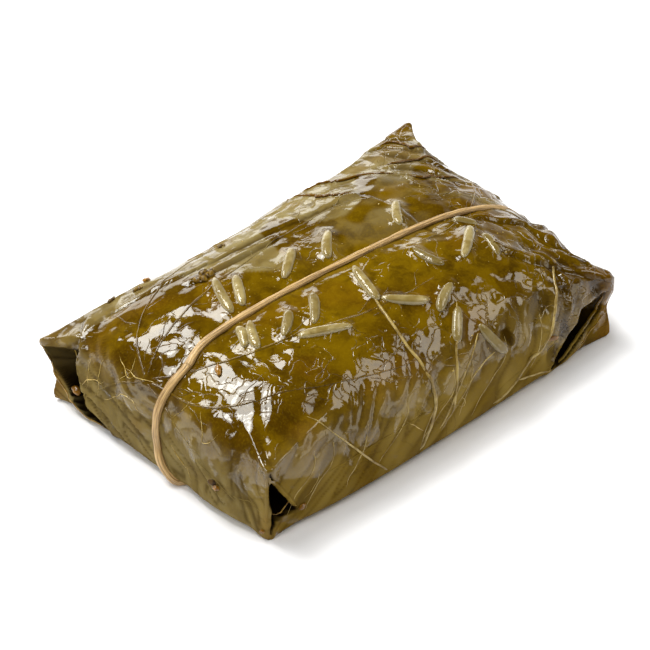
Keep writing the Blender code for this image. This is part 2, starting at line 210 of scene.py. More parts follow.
def eared_points(u, v, w):
    """The pillow with its corners drawn out into ears."""
    upper, lower = corner_blend(UPPER_EARS, u, v), corner_blend(LOWER_EARS, u, v)
    ears = lower + (upper - lower) * ((w + 1) / 2)[:, None]
    pinch = EAR_PINCH * (1 - w * w) ** 2
    ears[:, 0] -= pinch * np.where(u < 0, -1, 1)
    ears[:, 1] -= pinch * np.where(v < 0, -1, 1)
    reach = sum(np.where((np.sign(u) * side_x >= 0) & (np.sign(v) * side_y >= 0), power, 0)
                for (side_x, side_y), power in EAR_REACH.items())
    reach = np.where(u * v == 0, EAR_REACH[(-1, -1)], reach)
    pull = ((abs(u) * abs(v)) ** reach)[:, None]
    return pillow_points(u, v, w) * (1 - pull) + ears * pull


top_middle = pillow_points(*np.array([[0.0], [0.0], [1.0]]))[0]
print("the middle of the plain top lies at", top_middle.round(2), "mm")

# %% [markdown]
# ## The groove under the stem
# The stem was pulled tight while the leaf was soft, so it lies in a shallow valley. The valley
# follows the stem's own route, given as a few places along the parcel and joined by a smooth curve.

# %% The groove under the stem
STEM_TOP_ROUTE = ((-42.0, 0.4), (-33.0, 1.9), (-22.0, 1.5), (-8.0, 0.7), (8.0, -0.6), (24.0, -1.4),
                  (42.0, -2.4))
STEM_BASE_ROUTE = ((-42.0, -7.2), (-20.0, -7.4), (0.0, -6.2), (20.0, -4.6), (42.0, -3.0))
VALLEY_DEPTH, VALLEY_DEPTH_FAR_END, VALLEY_DEEPENING, VALLEY_HALF_WIDTH = 0.5, 1.0, 6, 2.4


def lookup(route, x):
    """The y of a route at each x, on a smooth curve through its points."""
    knots_x, knots_y = np.array(route).T
    x = np.clip(x, knots_x[0], knots_x[-1])
    leg = np.clip(np.searchsorted(knots_x, x, side="right") - 1, 0, len(route) - 2)
    before, after = np.maximum(leg - 1, 0), np.minimum(leg + 2, len(route) - 1)
    width = knots_x[leg + 1] - knots_x[leg]
    share = (x - knots_x[leg]) / width
    slope_in = (knots_y[leg + 1] - knots_y[before]) / (knots_x[leg + 1] - knots_x[before]) * width
    slope_out = (knots_y[after] - knots_y[leg]) / (knots_x[after] - knots_x[leg]) * width
    step = knots_y[leg + 1] - knots_y[leg]
    return (knots_y[leg] + slope_in * share + (3 * step - 2 * slope_in - slope_out) * share ** 2
            + (slope_in + slope_out - 2 * step) * share ** 3)


def outward(points):
    """Direction out of the pillow, seen from its side."""
    x, _, z = points.T
    return unit(np.stack((x / NEAR_LENGTH, 0 * x, (z - WAIST_HEIGHT) / DOME_RISE), axis=1))


def parcel_points(box_points):
    """Where points of the unit box lie on the parcel, pressed in along the stem and flat on the floor."""
    u, v, w = np.asarray(box_points, dtype=float).T
    points = eared_points(u, v, w)
    route_y = np.where(w < 0, lookup(STEM_BASE_ROUTE, points[:, 0]), lookup(STEM_TOP_ROUTE, points[:, 0]))
    far = np.maximum(0, points[:, 0] / FAR_LENGTH) ** VALLEY_DEEPENING
    depth = VALLEY_DEPTH + (VALLEY_DEPTH_FAR_END - VALLEY_DEPTH) * far
    depth = depth * np.exp(-((points[:, 1] - route_y) / VALLEY_HALF_WIDTH) ** 2)
    points -= outward(points) * depth[:, None]
    points[:, 2] = np.maximum(points[:, 2], 0)
    return points


print("the stem crosses the middle of the top at y", lookup(STEM_TOP_ROUTE, np.array([0.0])).round(2), "mm")

# %% [markdown]
# ## A fine grid over the parcel
# The wrinkles are real geometry, so the skin needs many small faces, about 0.4 mm each on top. Six
# flat grids, one on each side of a box, are welded along their shared edges. The lower walls and
# the base are hidden or flat and get fewer rows.

# %% A fine grid over the parcel
def levels(*spans):
    """Levels along one side of the box, from spans of a start, an end and a number of steps."""
    return np.concatenate([np.linspace(start, end, steps + 1)[:-1] for start, end, steps in spans] + [[1.0]])


GRID_X = levels((-1, -0.8, 34), (-0.8, 0.8, 136), (0.8, 1, 34))
GRID_Y = levels((-1, -0.8, 24), (-0.8, 0.8, 90), (0.8, 1, 24))
GRID_Z = levels((-1, 0, 22), (0, 1, 36))


def box_grid(grids):
    """Points on the surface of a unit box and the quads between them, welded along the edges."""
    spots, quads, count = [], [], 0
    for axis in range(3):
        across, along = (axis + 1) % 3, (axis + 2) % 3
        rows, columns = np.meshgrid(grids[across], grids[along], indexing="ij")
        for side in (-1, 1):
            face = np.full((rows.size, 3), float(side))
            face[:, across] = rows.ravel()
            face[:, along] = columns.ravel()
            index = count + np.arange(rows.size).reshape(rows.shape)
            quad = np.stack((index[:-1, :-1], index[1:, :-1], index[1:, 1:], index[:-1, 1:]), axis=-1)
            quads.append(quad.reshape(-1, 4)[:, ::side])
            spots.append(face)
            count += rows.size
    spots = np.concatenate(spots)
    keys = np.round(spots * 1e6).astype(int)
    _, first, inverse = np.unique(keys, axis=0, return_index=True, return_inverse=True)
    return spots[first], inverse.reshape(-1)[np.concatenate(quads)]


def point_normals(points, quads):
    """Outward directions of a surface at its points."""
    corners = points[quads]
    facing = np.cross(corners[:, 2] - corners[:, 0], corners[:, 3] - corners[:, 1])
    normals = np.zeros_like(points)
    for corner in range(4):
        np.add.at(normals, quads[:, corner], facing)
    return unit(normals)


box_spots, skin_quads = box_grid((GRID_X, GRID_Y, GRID_Z))
plain_skin = parcel_points(box_spots)
plain_normals = point_normals(plain_skin, skin_quads)
print(f"skin grid: {len(box_spots)} points, {len(skin_quads)} quads, top at {plain_skin[:, 2].max():.1f} mm")

# %% [markdown]
# ## Places on the leaf
# Grains, scraps and veins all lie on the leaf, so they need its surface under them. A search tree
# over the grid answers two questions: what is straight below a place, and what is nearest to a
# point in space. Each grain of rice is given by its x and y, its heading in degrees and its length.

# %% Places on the leaf
HIGH_ABOVE = 60
plain_tree = BVHTree.FromPolygons(plain_skin.tolist(), skin_quads.tolist())


def straight_below(tree, x, y):
    """Where a line straight down at x and y meets the leaf, and the outward direction there."""
    spot, normal, *_ = tree.ray_cast(Vector((x, y, HIGH_ABOVE)), Vector((0, 0, -1)))
    return spot, normal


def standing_frame(x, y, heading):
    """A place on top of the leaf, and the forward, sideways and upward directions there."""
    spot, normal = straight_below(plain_tree, x, y)
    turn = math.radians(heading)
    slope_x = Vector((normal.z, 0, -normal.x)).normalized()
    slope_y = Vector((0, normal.z, -normal.y)).normalized()
    forward = slope_x * math.cos(turn) + slope_y * math.sin(turn)
    forward = (forward - normal * forward.dot(normal)).normalized()
    return np.array(spot), np.array(forward), np.array(normal.cross(forward)), np.array(normal)


GRAINS = (
    (-16.9, 6.2, 57, 7.8), (-19.6, 7.4, 67, 9.6), (-24.2, -2.7, 60, 5.2), (-22.6, -3.7, 59, 7.0),
    (-6.1, 5.6, 38, 8.2), (-16.8, -5.7, 40, 6.7), (2.4, 4.8, 46, 7.5), (-10.9, -6.0, 49, 7.9),
    (-13.2, -11.4, -22, 9.8), (0.2, -7.0, 75, 9.2), (3.1, -13.9, -38, 8.4), (17.6, 3.6, 51, 7.2),
    (21.6, -9.7, 39, 9.8), (25.1, -12.2, 71, 6.1), (25.8, -4.8, -52, 4.6), (13.1, -8.7, -77, 6.8),
    (9.4, -17.0, 29, 7.0), (7.7, -21.8, 50, 6.8), (12.6, -25.6, -67, 7.4),
)
GRAIN_WIDTH, GRAIN_THICKNESS, GRAIN_SINK = 1.9, 1.5, 0.4
grain_frames = [standing_frame(x, y, heading) for x, y, heading, _ in GRAINS]
print(len(grain_frames), "grains placed, the highest at", round(max(f[0][2] for f in grain_frames), 1), "mm")


def distance_to_run(points, run):
    """Distance from each point to a line through the given points."""
    nearest = np.full(len(points), np.inf)
    for start, end in zip(run, run[1:]):
        leg = np.asarray(end) - start
        share = np.clip((points - start) @ leg / max(leg @ leg, 1e-9), 0, 1)
        nearest = np.minimum(nearest, np.linalg.norm(points - start - share[:, None] * leg, axis=1))
    return nearest

# %% [markdown]
# ## Wrinkles, folds and lumps
# A boiled leaf shows the rice through it as soft lumps. It pleats towards the corners, hangs in
# folds down the ends and crumples into flat panels where it was pushed together. Each of these is a
# height over the smooth parcel, strongest in its own region, and they are simply added up. Three
# edges of the outer leaf and fourteen single folds are given as lines. An edge has the side it
# rises to (1 is its left), how blunt it is and its run. A fold has its rise, the width of its soft
# side and its run.

# %% Wrinkles, folds and lumps
LEAF_EDGES = (
    (-1, 1.0, ((9.8, 24.6, 16.4), (10.8, 22.0, 17.9), (11.5, 18.8, 19.5), (13.2, 15.5, 20.7),
               (16.3, 12.8, 21.3), (18.8, 5.8, 21.9), (19.0, 2.5, 21.9))),
    (-1, 1.0, ((13.8, 25.2, 15.4), (15.9, 22.3, 17.6), (17.9, 19.9, 18.8), (21.9, 17.5, 19.4),
               (26.9, 13.9, 19.7), (31.3, 10.1, 19.2), (33.9, 6.4, 18.1), (38.0, 4.4, 15.7),
               (41.0, 1.0, 12.0))),
    (1, 2.4, ((-41.0, 21.0, 9.0), (-33.0, 21.5, 16.5), (-22.0, 17.8, 20.4), (-13.8, 16.2, 21.3),
              (-3.8, 15.6, 20.9), (4.2, 14.2, 21.3), (12.3, 12.8, 21.5))),
)
EDGE_STEP, EDGE_REACH, EDGE_RIM = 0.34, 8.0, 0.22
FOLDS = (
    (0.50, 2.2, ((30.5, 25.0, 16.0), (33.9, 23.6, 16.0), (34.9, 21.6, 16.3), (36.5, 19.4, 16.6),
                 (39.0, 16.5, 15.0))),
    (0.35, 1.6, ((36.4, 25.3, 15.6), (38.8, 22.6, 15.8), (38.6, 18.4, 16.2), (40.2, 15.5, 13.8))),
    (0.40, 1.8, ((32.0, 20.6, 17.4), (33.6, 18.9, 17.4), (35.6, 15.8, 17.0), (36.6, 11.0, 17.0),
                 (40.0, 8.0, 13.0))),
    (0.45, 2.0, ((29.3, 16.1, 18.5), (33.2, 13.3, 18.0), (34.7, 8.5, 17.8), (37.2, 6.1, 16.2),
                 (40.5, 3.0, 12.5))),
    (0.70, 1.6, ((25.6, -13.5, 19.9), (29.0, -17.5, 18.1), (33.2, -20.7, 15.5), (38.8, -24.9, 12.7))),
    (0.60, 1.0, ((31.9, -16.9, 18.4), (32.4, -21.5, 15.4), (31.3, -25.2, 12.7), (29.0, -26.8, 9.5))),
    (0.60, 1.0, ((36.5, -10.0, 16.5), (38.0, -17.0, 14.8), (38.8, -22.0, 13.2), (38.0, -24.8, 10.5))),
    (0.55, 1.1, ((30.0, -4.0, 19.6), (34.5, -8.0, 17.9), (38.0, -9.5, 15.5), (41.5, -10.5, 11.0))),
    (0.70, 1.3, ((-36.1, 23.7, 15.3), (-40.3, 20.4, 13.8), (-40.9, 20.2, 7.5), (-41.3, 12.5, 5.1),
                 (-41.1, 6.4, 2.1))),
    (0.40, 0.8, ((-40.9, 15.3, 11.4), (-41.3, 8.5, 8.8), (-41.3, 2.2, 6.1))),
    (0.45, 0.7, ((-39.7, -20.4, 11.4), (-39.2, -22.4, 5.7), (-39.2, -24.1, 2.1))),
    (0.40, 0.7, ((-40.0, -19.3, 11.8), (-39.7, -20.4, 6.4), (-39.7, -21.9, 2.9))),
    (0.40, 0.9, ((-41.3, -9.0, 12.0), (-41.3, -11.9, 8.5), (-40.8, -16.4, 4.5))),
    (0.45, 1.1, ((-21.0, 14.8, 21.2), (-16.1, 13.8, 21.9), (-9.0, 13.6, 21.6), (-2.9, 13.1, 21.5))),
)
FOLD_STEEP_SIDE, FOLD_LEVEL, NET_LEVEL = 0.45, 0.4, 0.45
CREASE_DEPTH, CREASE_WIDTH, CREASE_OFFSET = 0.35, 0.40, 0.75
SWELL_LINE = ((-30.0, -14.0, 20.0), (-34.0, -18.5, 18.3), (-37.4, -22.8, 16.3), (-39.4, -25.4, 15.0))
SWELL_RISE, SWELL_WIDTH, SWELL_GAP = 0.50, 2.2, 1.2
FILLET_RISE, FILLET_WIDTH = 0.56, 1.5
print(len(LEAF_EDGES), "edges of the outer leaf and", len(FOLDS), "single folds")

# %% [markdown]
# ## Distance to a line on the leaf
# A fold follows a line. Its height depends on how far a point lies from the line and on which side.
# One helper measures both.

# %% Distance to a line on the leaf
def signed_distance(points, normals, run):
    """Distance to a line laid on the leaf. It is positive to the left of the line, seen from outside."""
    nearest = np.full(len(points), np.inf)
    side = np.zeros(len(points))
    for start, end in zip(np.array(run), np.array(run)[1:]):
        leg, off = end - start, points - start
        share = np.clip(off @ leg / (leg @ leg), 0, 1)
        away = np.linalg.norm(off - share[:, None] * leg, axis=1)
        closer = away < nearest
        nearest = np.where(closer, away, nearest)
        side = np.where(closer, np.sign((np.cross(leg, off) * normals).sum(axis=1)), side)
    return nearest * side


probe = signed_distance(np.array([[0.0, 3.0, 0.0]]), np.array([[0.0, 0.0, 1.0]]), ((-5, 0, 0), (5, 0, 0)))
print("a point 3 mm to the left of a line measures", probe)

# %% [markdown]
# ## Folds down the sides
# Where the leaf hangs down a side, its folds run as long round crowns with narrow valleys between
# them. Noise that is stretched along one direction gives such folds, and each side of the parcel
# has a direction of its own.

# %% Folds down the sides
FOLD_SPACING = 3.0


def end_grain(points):
    """Places across and along the slanting grain of the end folds, which lean more towards the back."""
    x, y, z = points.T
    lean = 0.4 + smooth_step(y, -20, 16)
    return y - lean * z, z + lean * y


def side_folds(points):
    """Crowns and valleys of the folds down the ends, along the front and along the back, about 0 to 1."""
    x, y, z = points.T
    across_end, along_end = end_grain(points)
    across_end = across_end + 1.8 * bumps(points, (9, 9, 7), 16)
    down_the_end = creases(np.stack((x / 14, across_end / FOLD_SPACING, along_end / 14), axis=1), 1, 3)
    slanting = creases(np.stack(((x - z) / FOLD_SPACING, (x + z) / 22, y / 8), axis=1), 1, 4)
    lengthwise = creases(np.stack((x / 24, (y + z) / FOLD_SPACING, (y - z) / 9), axis=1), 1, 5)
    return down_the_end, slanting, lengthwise


print("folds down the near end, at their middle:", side_folds(np.array([[-42.0, 0.0, 8.0]]))[0].round(2))

# %% [markdown]
# ## The relief of the leaf
# Here all the heights come together. Each region of the leaf has a share that rises softly from 0
# to 1 at its border, so no fold starts with a step. Sharp creases are also kept as a number, the
# shade, which the finish uses to darken them as painted shade.

# %% The relief of the leaf
def add_lines(points, normals, height, shade):
    """Adds the edges, single folds and swells to the heights, and painted shade in creases and by edges."""
    upper = smooth_step(points[:, 2], 9, 16)
    ripple = 0.5 + 0.5 * bumps(points, 3.0, 14)
    for side, blunt, run in LEAF_EDGES:
        beyond = side * signed_distance(points, normals, run)
        climb = smooth_step(beyond, -0.15 * blunt, 0.25 * blunt)
        rim = np.exp(-((beyond / blunt - 0.35) / 0.45) ** 2)
        height += upper * EDGE_STEP * climb * (1 - smooth_step(beyond, 0.5, EDGE_REACH))
        height += upper * EDGE_RIM * ripple * rim / blunt
        # painted shadow: a dark line just beside each edge step
        shade = np.maximum(shade, upper * 0.9 * np.exp(-((beyond + 0.25) / 0.30) ** 2))
    for rise, width, run in FOLDS:
        beyond = signed_distance(points, normals, run)
        side_width = np.where(beyond > 0, width, FOLD_STEEP_SIDE)
        crease = np.exp(-((beyond + CREASE_OFFSET) / CREASE_WIDTH) ** 2)
        height += rise * np.exp(-(beyond / side_width) ** 2) - CREASE_DEPTH * rise * crease
        # painted shade in the crease beside each fold
        shade = np.maximum(shade, 0.8 * crease)
    away = abs(signed_distance(points, normals, SWELL_LINE))
    height += SWELL_RISE * (np.exp(-(away / SWELL_WIDTH) ** 2) - np.exp(-(away / SWELL_GAP) ** 2))
    return height, shade


def leaf_relief(points, normals, box_points):
    """Height of the skin over the smooth parcel, and how deep each point lies in a sharp crease, 0 to 1, as
    painted shade.
    """
    u, v, _ = box_points.T
    x, y, z = points.T
    near_end = smooth_step(-x, 34, 41)
    far_end = smooth_step(x, 26, 40)
    front = smooth_step(-y, 20, 27)
    back = smooth_step(y, 14, 26)
    right_corner = smooth_step(0.80 * x - 0.60 * y, 28, 40) * smooth_step(z, 1, 5)
    far_corner = smooth_step(0.73 * x + 0.68 * y, 30, 40)

    # soft lumps everywhere, and the folds of the sides
    down_the_end, slanting, lengthwise = side_folds(points)
    height = 0.28 * bumps(points, 5.5) + 0.10 * bumps(points, 2.4, 1)
    end_folds = 0.26 * near_end + 0.30 * far_end * (1 - 0.9 * far_corner)
    height += end_folds * (down_the_end - FOLD_LEVEL) * (1 + 0.8 * bumps(points, 7, 15))
    back_folds = 0.36 * back * (lengthwise - FOLD_LEVEL) * (1 - 0.6 * far_end) * (1 - 0.8 * far_corner)
    height += 0.38 * front * (slanting - FOLD_LEVEL) + back_folds

    # crumpled panels at two corners, and a net of large and small creases
    pressed = crumple(points, 4.8, 13)
    height += 1.1 * right_corner * pressed + 0.85 * far_corner * crumple(points, 8.0, 17)
    twisted = points + 1.6 * np.stack([bumps(points, 4.0, seed) for seed in (6, 7, 8)], axis=1)
    large_net = 0.12 + 0.22 * far_end * (1 - 0.7 * far_corner) + 0.10 * near_end
    height += large_net * (creases(twisted, (8.5, 6.5, 6.5), 9) - NET_LEVEL)
    small_net = 0.015 + 0.06 * far_end * (1 - far_corner) + 0.03 * front
    height += small_net * (creases(twisted, 2.6, 10) - NET_LEVEL)

    # painted shade: darker in the valleys of the end folds, the front folds and the crumpled panels
    shade = 0.8 * np.exp(-(down_the_end / 0.16) ** 2) * near_end
    shade += 0.5 * np.exp(-(slanting / 0.14) ** 2) * front
    shade += right_corner * smooth_step(-pressed, 0.16, 0.36)
    height, shade = add_lines(points, normals, height, shade)

    tips = (abs(u) * abs(v)) ** 5
    return height * np.minimum(1, z / WAIST_HEIGHT) * (1 - 0.8 * tips * (1 - 0.6 * right_corner)), shade


def wet_fillets(points):
    """The leaf and its juice creep up round every grain."""
    height = np.zeros(len(points))
    for (spot, forward, _, _), (_, _, _, length) in zip(grain_frames, GRAINS):
        reach = forward * (length / 2 - GRAIN_WIDTH / 2)
        away = distance_to_run(points, (spot - reach, spot + reach))
        height = np.maximum(height, FILLET_RISE * np.exp(-(away / FILLET_WIDTH) ** 2))
    return height


relief, shade = leaf_relief(plain_skin, plain_normals, box_spots)
fillets = wet_fillets(plain_skin)
skin_height = relief + fillets
skin_points = plain_skin + plain_normals * skin_height[:, None]
print(f"relief from {skin_height.min():.2f} to {skin_height.max():.2f} mm")

# %% [markdown]
# ## Dark pockets at the corners
# Where the ends are tucked in, the leaf opens in deep folds. Each pocket has a mouth, a few points
# round it on the leaf, and a deepest point inside. Skin inside the mouth is drawn towards the
# deepest point, and the skin just outside swells into a rounded lip, which is what a folded edge of
# soft leaf looks like. The skin in and at each mouth is also coloured almost black as painted shade.

# %% Dark pockets at the corners
POCKETS = {
    "gusset": (((-39.4, -26.2, 14.6), (-33.8, -26.6, 4.2), (-38.4, -26.4, 4.0)), (-34.5, -17.8, 7.5)),
    "gusset_slit": (((-37.8, -26.3, 5.4), (-38.8, -26.3, 5.0), (-39.3, -26.1, 1.3)), (-37.0, -21.8, 4.2)),
    "ear_pocket": (((-42.4, 27.3, 11.6), (-41.9, 21.2, 13.4), (-41.4, 17.6, 2.6), (-41.5, 22.6, 3.9),
                    (-41.9, 26.0, 7.2)), (-34.0, 21.7, 8.0)),
    "ear_slot": (((-41.5, 20.6, 4.6), (-41.5, 21.0, 2.6), (-41.3, 12.0, 0.6), (-41.3, 12.0, 1.6)),
                 (-37.0, 17.2, 2.4)),
    "flap_slot": (((39.2, -25.8, 9.6), (38.1, -25.8, 6.8), (33.7, -26.2, 9.0), (28.2, -27.1, 5.0),
                   (25.2, -27.2, 1.4), (27.8, -27.2, 1.0)), (33.0, -19.8, 5.6)),
    "back_slot": (((38.7, 26.6, 11.6), (37.2, 26.6, 7.4), (32.7, 26.6, 8.0), (26.9, 26.8, 1.6),
                   (29.6, 26.8, 1.2)), (34.0, 19.7, 6.4)),
}
# painted light: how much lighter the upper part of these two pockets stays
LIT_POCKETS = {"ear_pocket": 0.22, "flap_slot": 0.30}
LIP_HEIGHT, LIP_WIDTH, WALL_WIDTH = 0.40, 0.8, 0.7
MOUTH_DEPTH, DRAWN_SHARE = 6, 0.92


def inside_mouth(points, mouth, deepest):
    """How far each point lies inside the mouth, seen from outside, in millimetres. Outside is negative."""
    mouth, deepest = np.array(mouth), np.array(deepest)
    middle = mouth.mean(axis=0)
    axis = (middle - deepest) / np.linalg.norm(middle - deepest)
    side = np.cross(axis, (0, 0, 1.0))
    side /= np.linalg.norm(side)
    top = np.cross(side, axis)
    flat, outline = (np.stack(((places - middle) @ side, (places - middle) @ top), axis=1)
                     for places in (points, mouth))
    outline = outline[np.argsort(np.arctan2(outline[:, 1], outline[:, 0]))]
    away = distance_to_run(flat, np.vstack((outline, outline[:1])))
    within = (points - middle) @ axis > -MOUTH_DEPTH
    away = np.where(within, away, 99)
    for start, end in zip(outline, np.roll(outline, -1, axis=0)):
        leg, off = end - start, flat - start
        within &= leg[0] * off[:, 1] - leg[1] * off[:, 0] > 0
    return np.where(within, away, -away)


# painted shade: the hollow number darkens the skin in each mouth almost to black
hollow = np.zeros(len(skin_points))
for name, (mouth, deepest) in POCKETS.items():
    inset = inside_mouth(plain_skin, mouth, deepest)
    pull = DRAWN_SHARE * smooth_step(inset, 0.0, WALL_WIDTH)
    lip = LIP_HEIGHT * np.exp(-((inset + 0.8) / LIP_WIDTH) ** 2) * (inset < 0)
    skin_points += plain_normals * lip[:, None]
    skin_points += (np.array(deepest) - skin_points) * pull[:, None]
    lit = LIT_POCKETS.get(name, 0.0) * smooth_step(plain_skin[:, 2], 4, 9)
    hollow = np.maximum(hollow, smooth_step(inset, -0.50, -0.05) * (1 - lit))
    print(f"{name}: {np.count_nonzero(inset > 0)} points drawn in")
skin_points[:, 2] = np.maximum(skin_points[:, 2], 0)

# %% [markdown]
# ## Blunt ear tips
# Three of the ears end in soft, folded-over points. Their last millimetre and a half is pressed
# back, which leaves a small rounded end, and two of them lean over a little. The fourth, at the
# near end, keeps its sharp tip.

# %% Blunt ear tips
BLUNT_LENGTH, BLUNT_SHARE, BLUNT_REACH = 1.5, 0.6, 4
SHARP_EAR = (-1, 1)
EAR_LEAN = {(1, 1): (0.7, -0.3, 0.15), (1, -1): (0.4, -0.3, 0.0)}
for tips in (UPPER_EARS, LOWER_EARS):
    for corner, tip in tips.items():
        if corner == SHARP_EAR:
            continue
        outward_way = np.array((tip[0], tip[1], 0)) / math.hypot(tip[0], tip[1])
        past = (skin_points - np.array(tip)) @ outward_way + BLUNT_LENGTH
        near = np.exp(-(np.linalg.norm(skin_points - np.array(tip), axis=1) / BLUNT_REACH) ** 2)
        skin_points -= outward_way * (np.maximum(past, 0) * BLUNT_SHARE * near)[:, None]
        skin_points += near[:, None] * np.array(EAR_LEAN.get(corner, (0, 0, 0)))
print("skin box after blunting:", skin_points.min(axis=0).round(2), skin_points.max(axis=0).round(2))

# %% [markdown]
# ## Building blocks for finishes
# Each finish is a small network of shader nodes. This helper adds a node, sets its values and wires
# its inputs in one line, so a finish reads as a list of steps. Points reach the nodes in
# millimetres, so every scale below is in bumps per millimetre.

# %% Building blocks for finishes
NOISE_ROUGHNESS = 0.55


class Finish:
    """A material being built, with its shader and a position in millimetres."""

    def __init__(self, name):
        self.material = bpy.data.materials.new(name)
        self.material.use_nodes = True
        self.tree = self.material.node_tree
        self.shader = self.tree.nodes["Principled BSDF"]
        where = self.add("TexCoord").outputs["Object"]
        self.place = self.add("VectorMath", operation="SCALE", Vector=where, Scale=1 / MM).outputs["Vector"]

    def add(self, kind, **settings):
        """Adds a node. A setting that is a socket is wired, any other sets the input or the node."""
        made = self.tree.nodes.new("ShaderNode" + kind)
        own = [key for key, value in settings.items()
               if isinstance(value, (str, bool)) or (hasattr(made, key) and key.islower())]
        for key in own:
            setattr(made, key, settings[key])
        for key, value in settings.items():
            if key in own:
                continue
            socket = made.inputs[int(key[1:])] if key[0] == "i" and key[1:].isdigit() else made.inputs[key]
            if isinstance(value, bpy.types.NodeSocket):
                self.tree.links.new(value, socket)
            else:
                socket.default_value = value
        return made

    def noise(self, scale, detail=4.0, vector=None, distortion=0.0):
        made = self.add("TexNoise", Vector=vector or self.place, Scale=scale, Detail=detail,
                        Distortion=distortion, Roughness=NOISE_ROUGHNESS)
        return made.outputs["Fac"]

    def ramp(self, value, low, high, start=0.0, end=1.0):
        """Maps a value from low..high onto start..end, with soft shoulders."""
        made = self.add("MapRange", interpolation_type="SMOOTHSTEP",
                        i0=value, i1=low, i2=high, i3=start, i4=end)
        return made.outputs[0]

    def maths(self, operation, *values):
        numbered = {f"i{number}": value for number, value in enumerate(values)}
        return self.add("Math", operation=operation, **numbered).outputs[0]

    def sum(self, first, second, share=1.0):
        return self.maths("MULTIPLY_ADD", second, share, first)

    def times(self, first, second):
        return self.maths("MULTIPLY", first, second)

    def blend(self, share, first, second):
        """Mixes two colours, each a socket or red, green and blue numbers."""
        first, second = (value if isinstance(value, bpy.types.NodeSocket) else (*value, 1.0)
                         for value in (first, second))
        return self.add("Mix", data_type="RGBA", i0=share, i6=first, i7=second).outputs[2]

    def layers(self, colour, *coats):
        """Lays colours over a first one. Each coat is its share, 0 to 1, and its colour."""
        for share, over in coats:
            colour = self.blend(share, colour, over)
        return colour

    def attribute(self, name):
        return self.add("Attribute", attribute_name=name).outputs["Fac"]

    def bump(self, height, millimetres, after=None):
        """A bump of the given height, laid over another one."""
        settings = {"Height": height, "Strength": 1.0, "Distance": millimetres * MM}
        if after is not None:
            settings["Normal"] = after
        return self.add("Bump", **settings).outputs["Normal"]

    def done(self, colour, roughness, normal=None, **fixed):
        wires = self.tree.links
        for socket, value in (("Base Color", colour), ("Roughness", roughness), ("Normal", normal)):
            if isinstance(value, bpy.types.NodeSocket):
                wires.new(value, self.shader.inputs[socket])
            elif value is not None:
                self.shader.inputs[socket].default_value = value
        if normal is not None:
            wires.new(normal, self.shader.inputs["Coat Normal"])
        for key, value in fixed.items():
            self.shader.inputs[key.replace("_", " ")].default_value = value
        print("finish:", self.material.name)
        return self.material


print("a finish counts", round(1 / MM), "units to the metre")

# %% [markdown]
# ## Cooked leaf
# Hours in broth turn a vine leaf olive brown, golden where rice shines through. A net of fine
# veinlets covers it, and a film of oil makes it gleam in broken patches. The colour is laid in coats,
# each where its own mottling or the numbers on the skin put it. Some coats are painted light and
# shade: creases and pockets are darkened almost to black as painted shade, crowns of folds are
# painted lighter, and grey patches on the sides and at the far corner are painted sheen. The gloss
# is a coat over a duller leaf, with bumps that break the reflection up.

# %% Cooked leaf
DARK_OLIVE, LIGHT_OLIVE = (0.069, 0.033, 0.0003), (0.124, 0.068, 0.0006)
# painted light and sheen: the pale colour lightens fold crowns and greys the sides
OVER_RICE, MOTTLE, PALE = (0.200, 0.117, 0.0006), (0.040, 0.018, 0.0004), (0.240, 0.163, 0.036)
# the flap colour is the paler outer flap and also painted sheen on grey patches
FLAP_AND_SHEEN_GREY, TOASTED, SPECKLE = (0.225, 0.176, 0.074), (0.165, 0.068, 0.002), (0.260, 0.165, 0.005)
# painted shade: the colours for creases and for the insides of the pockets
IN_CREASES, HOLLOW_SHADE = (0.028, 0.013, 0.0005), (0.004, 0.002, 0.0005)


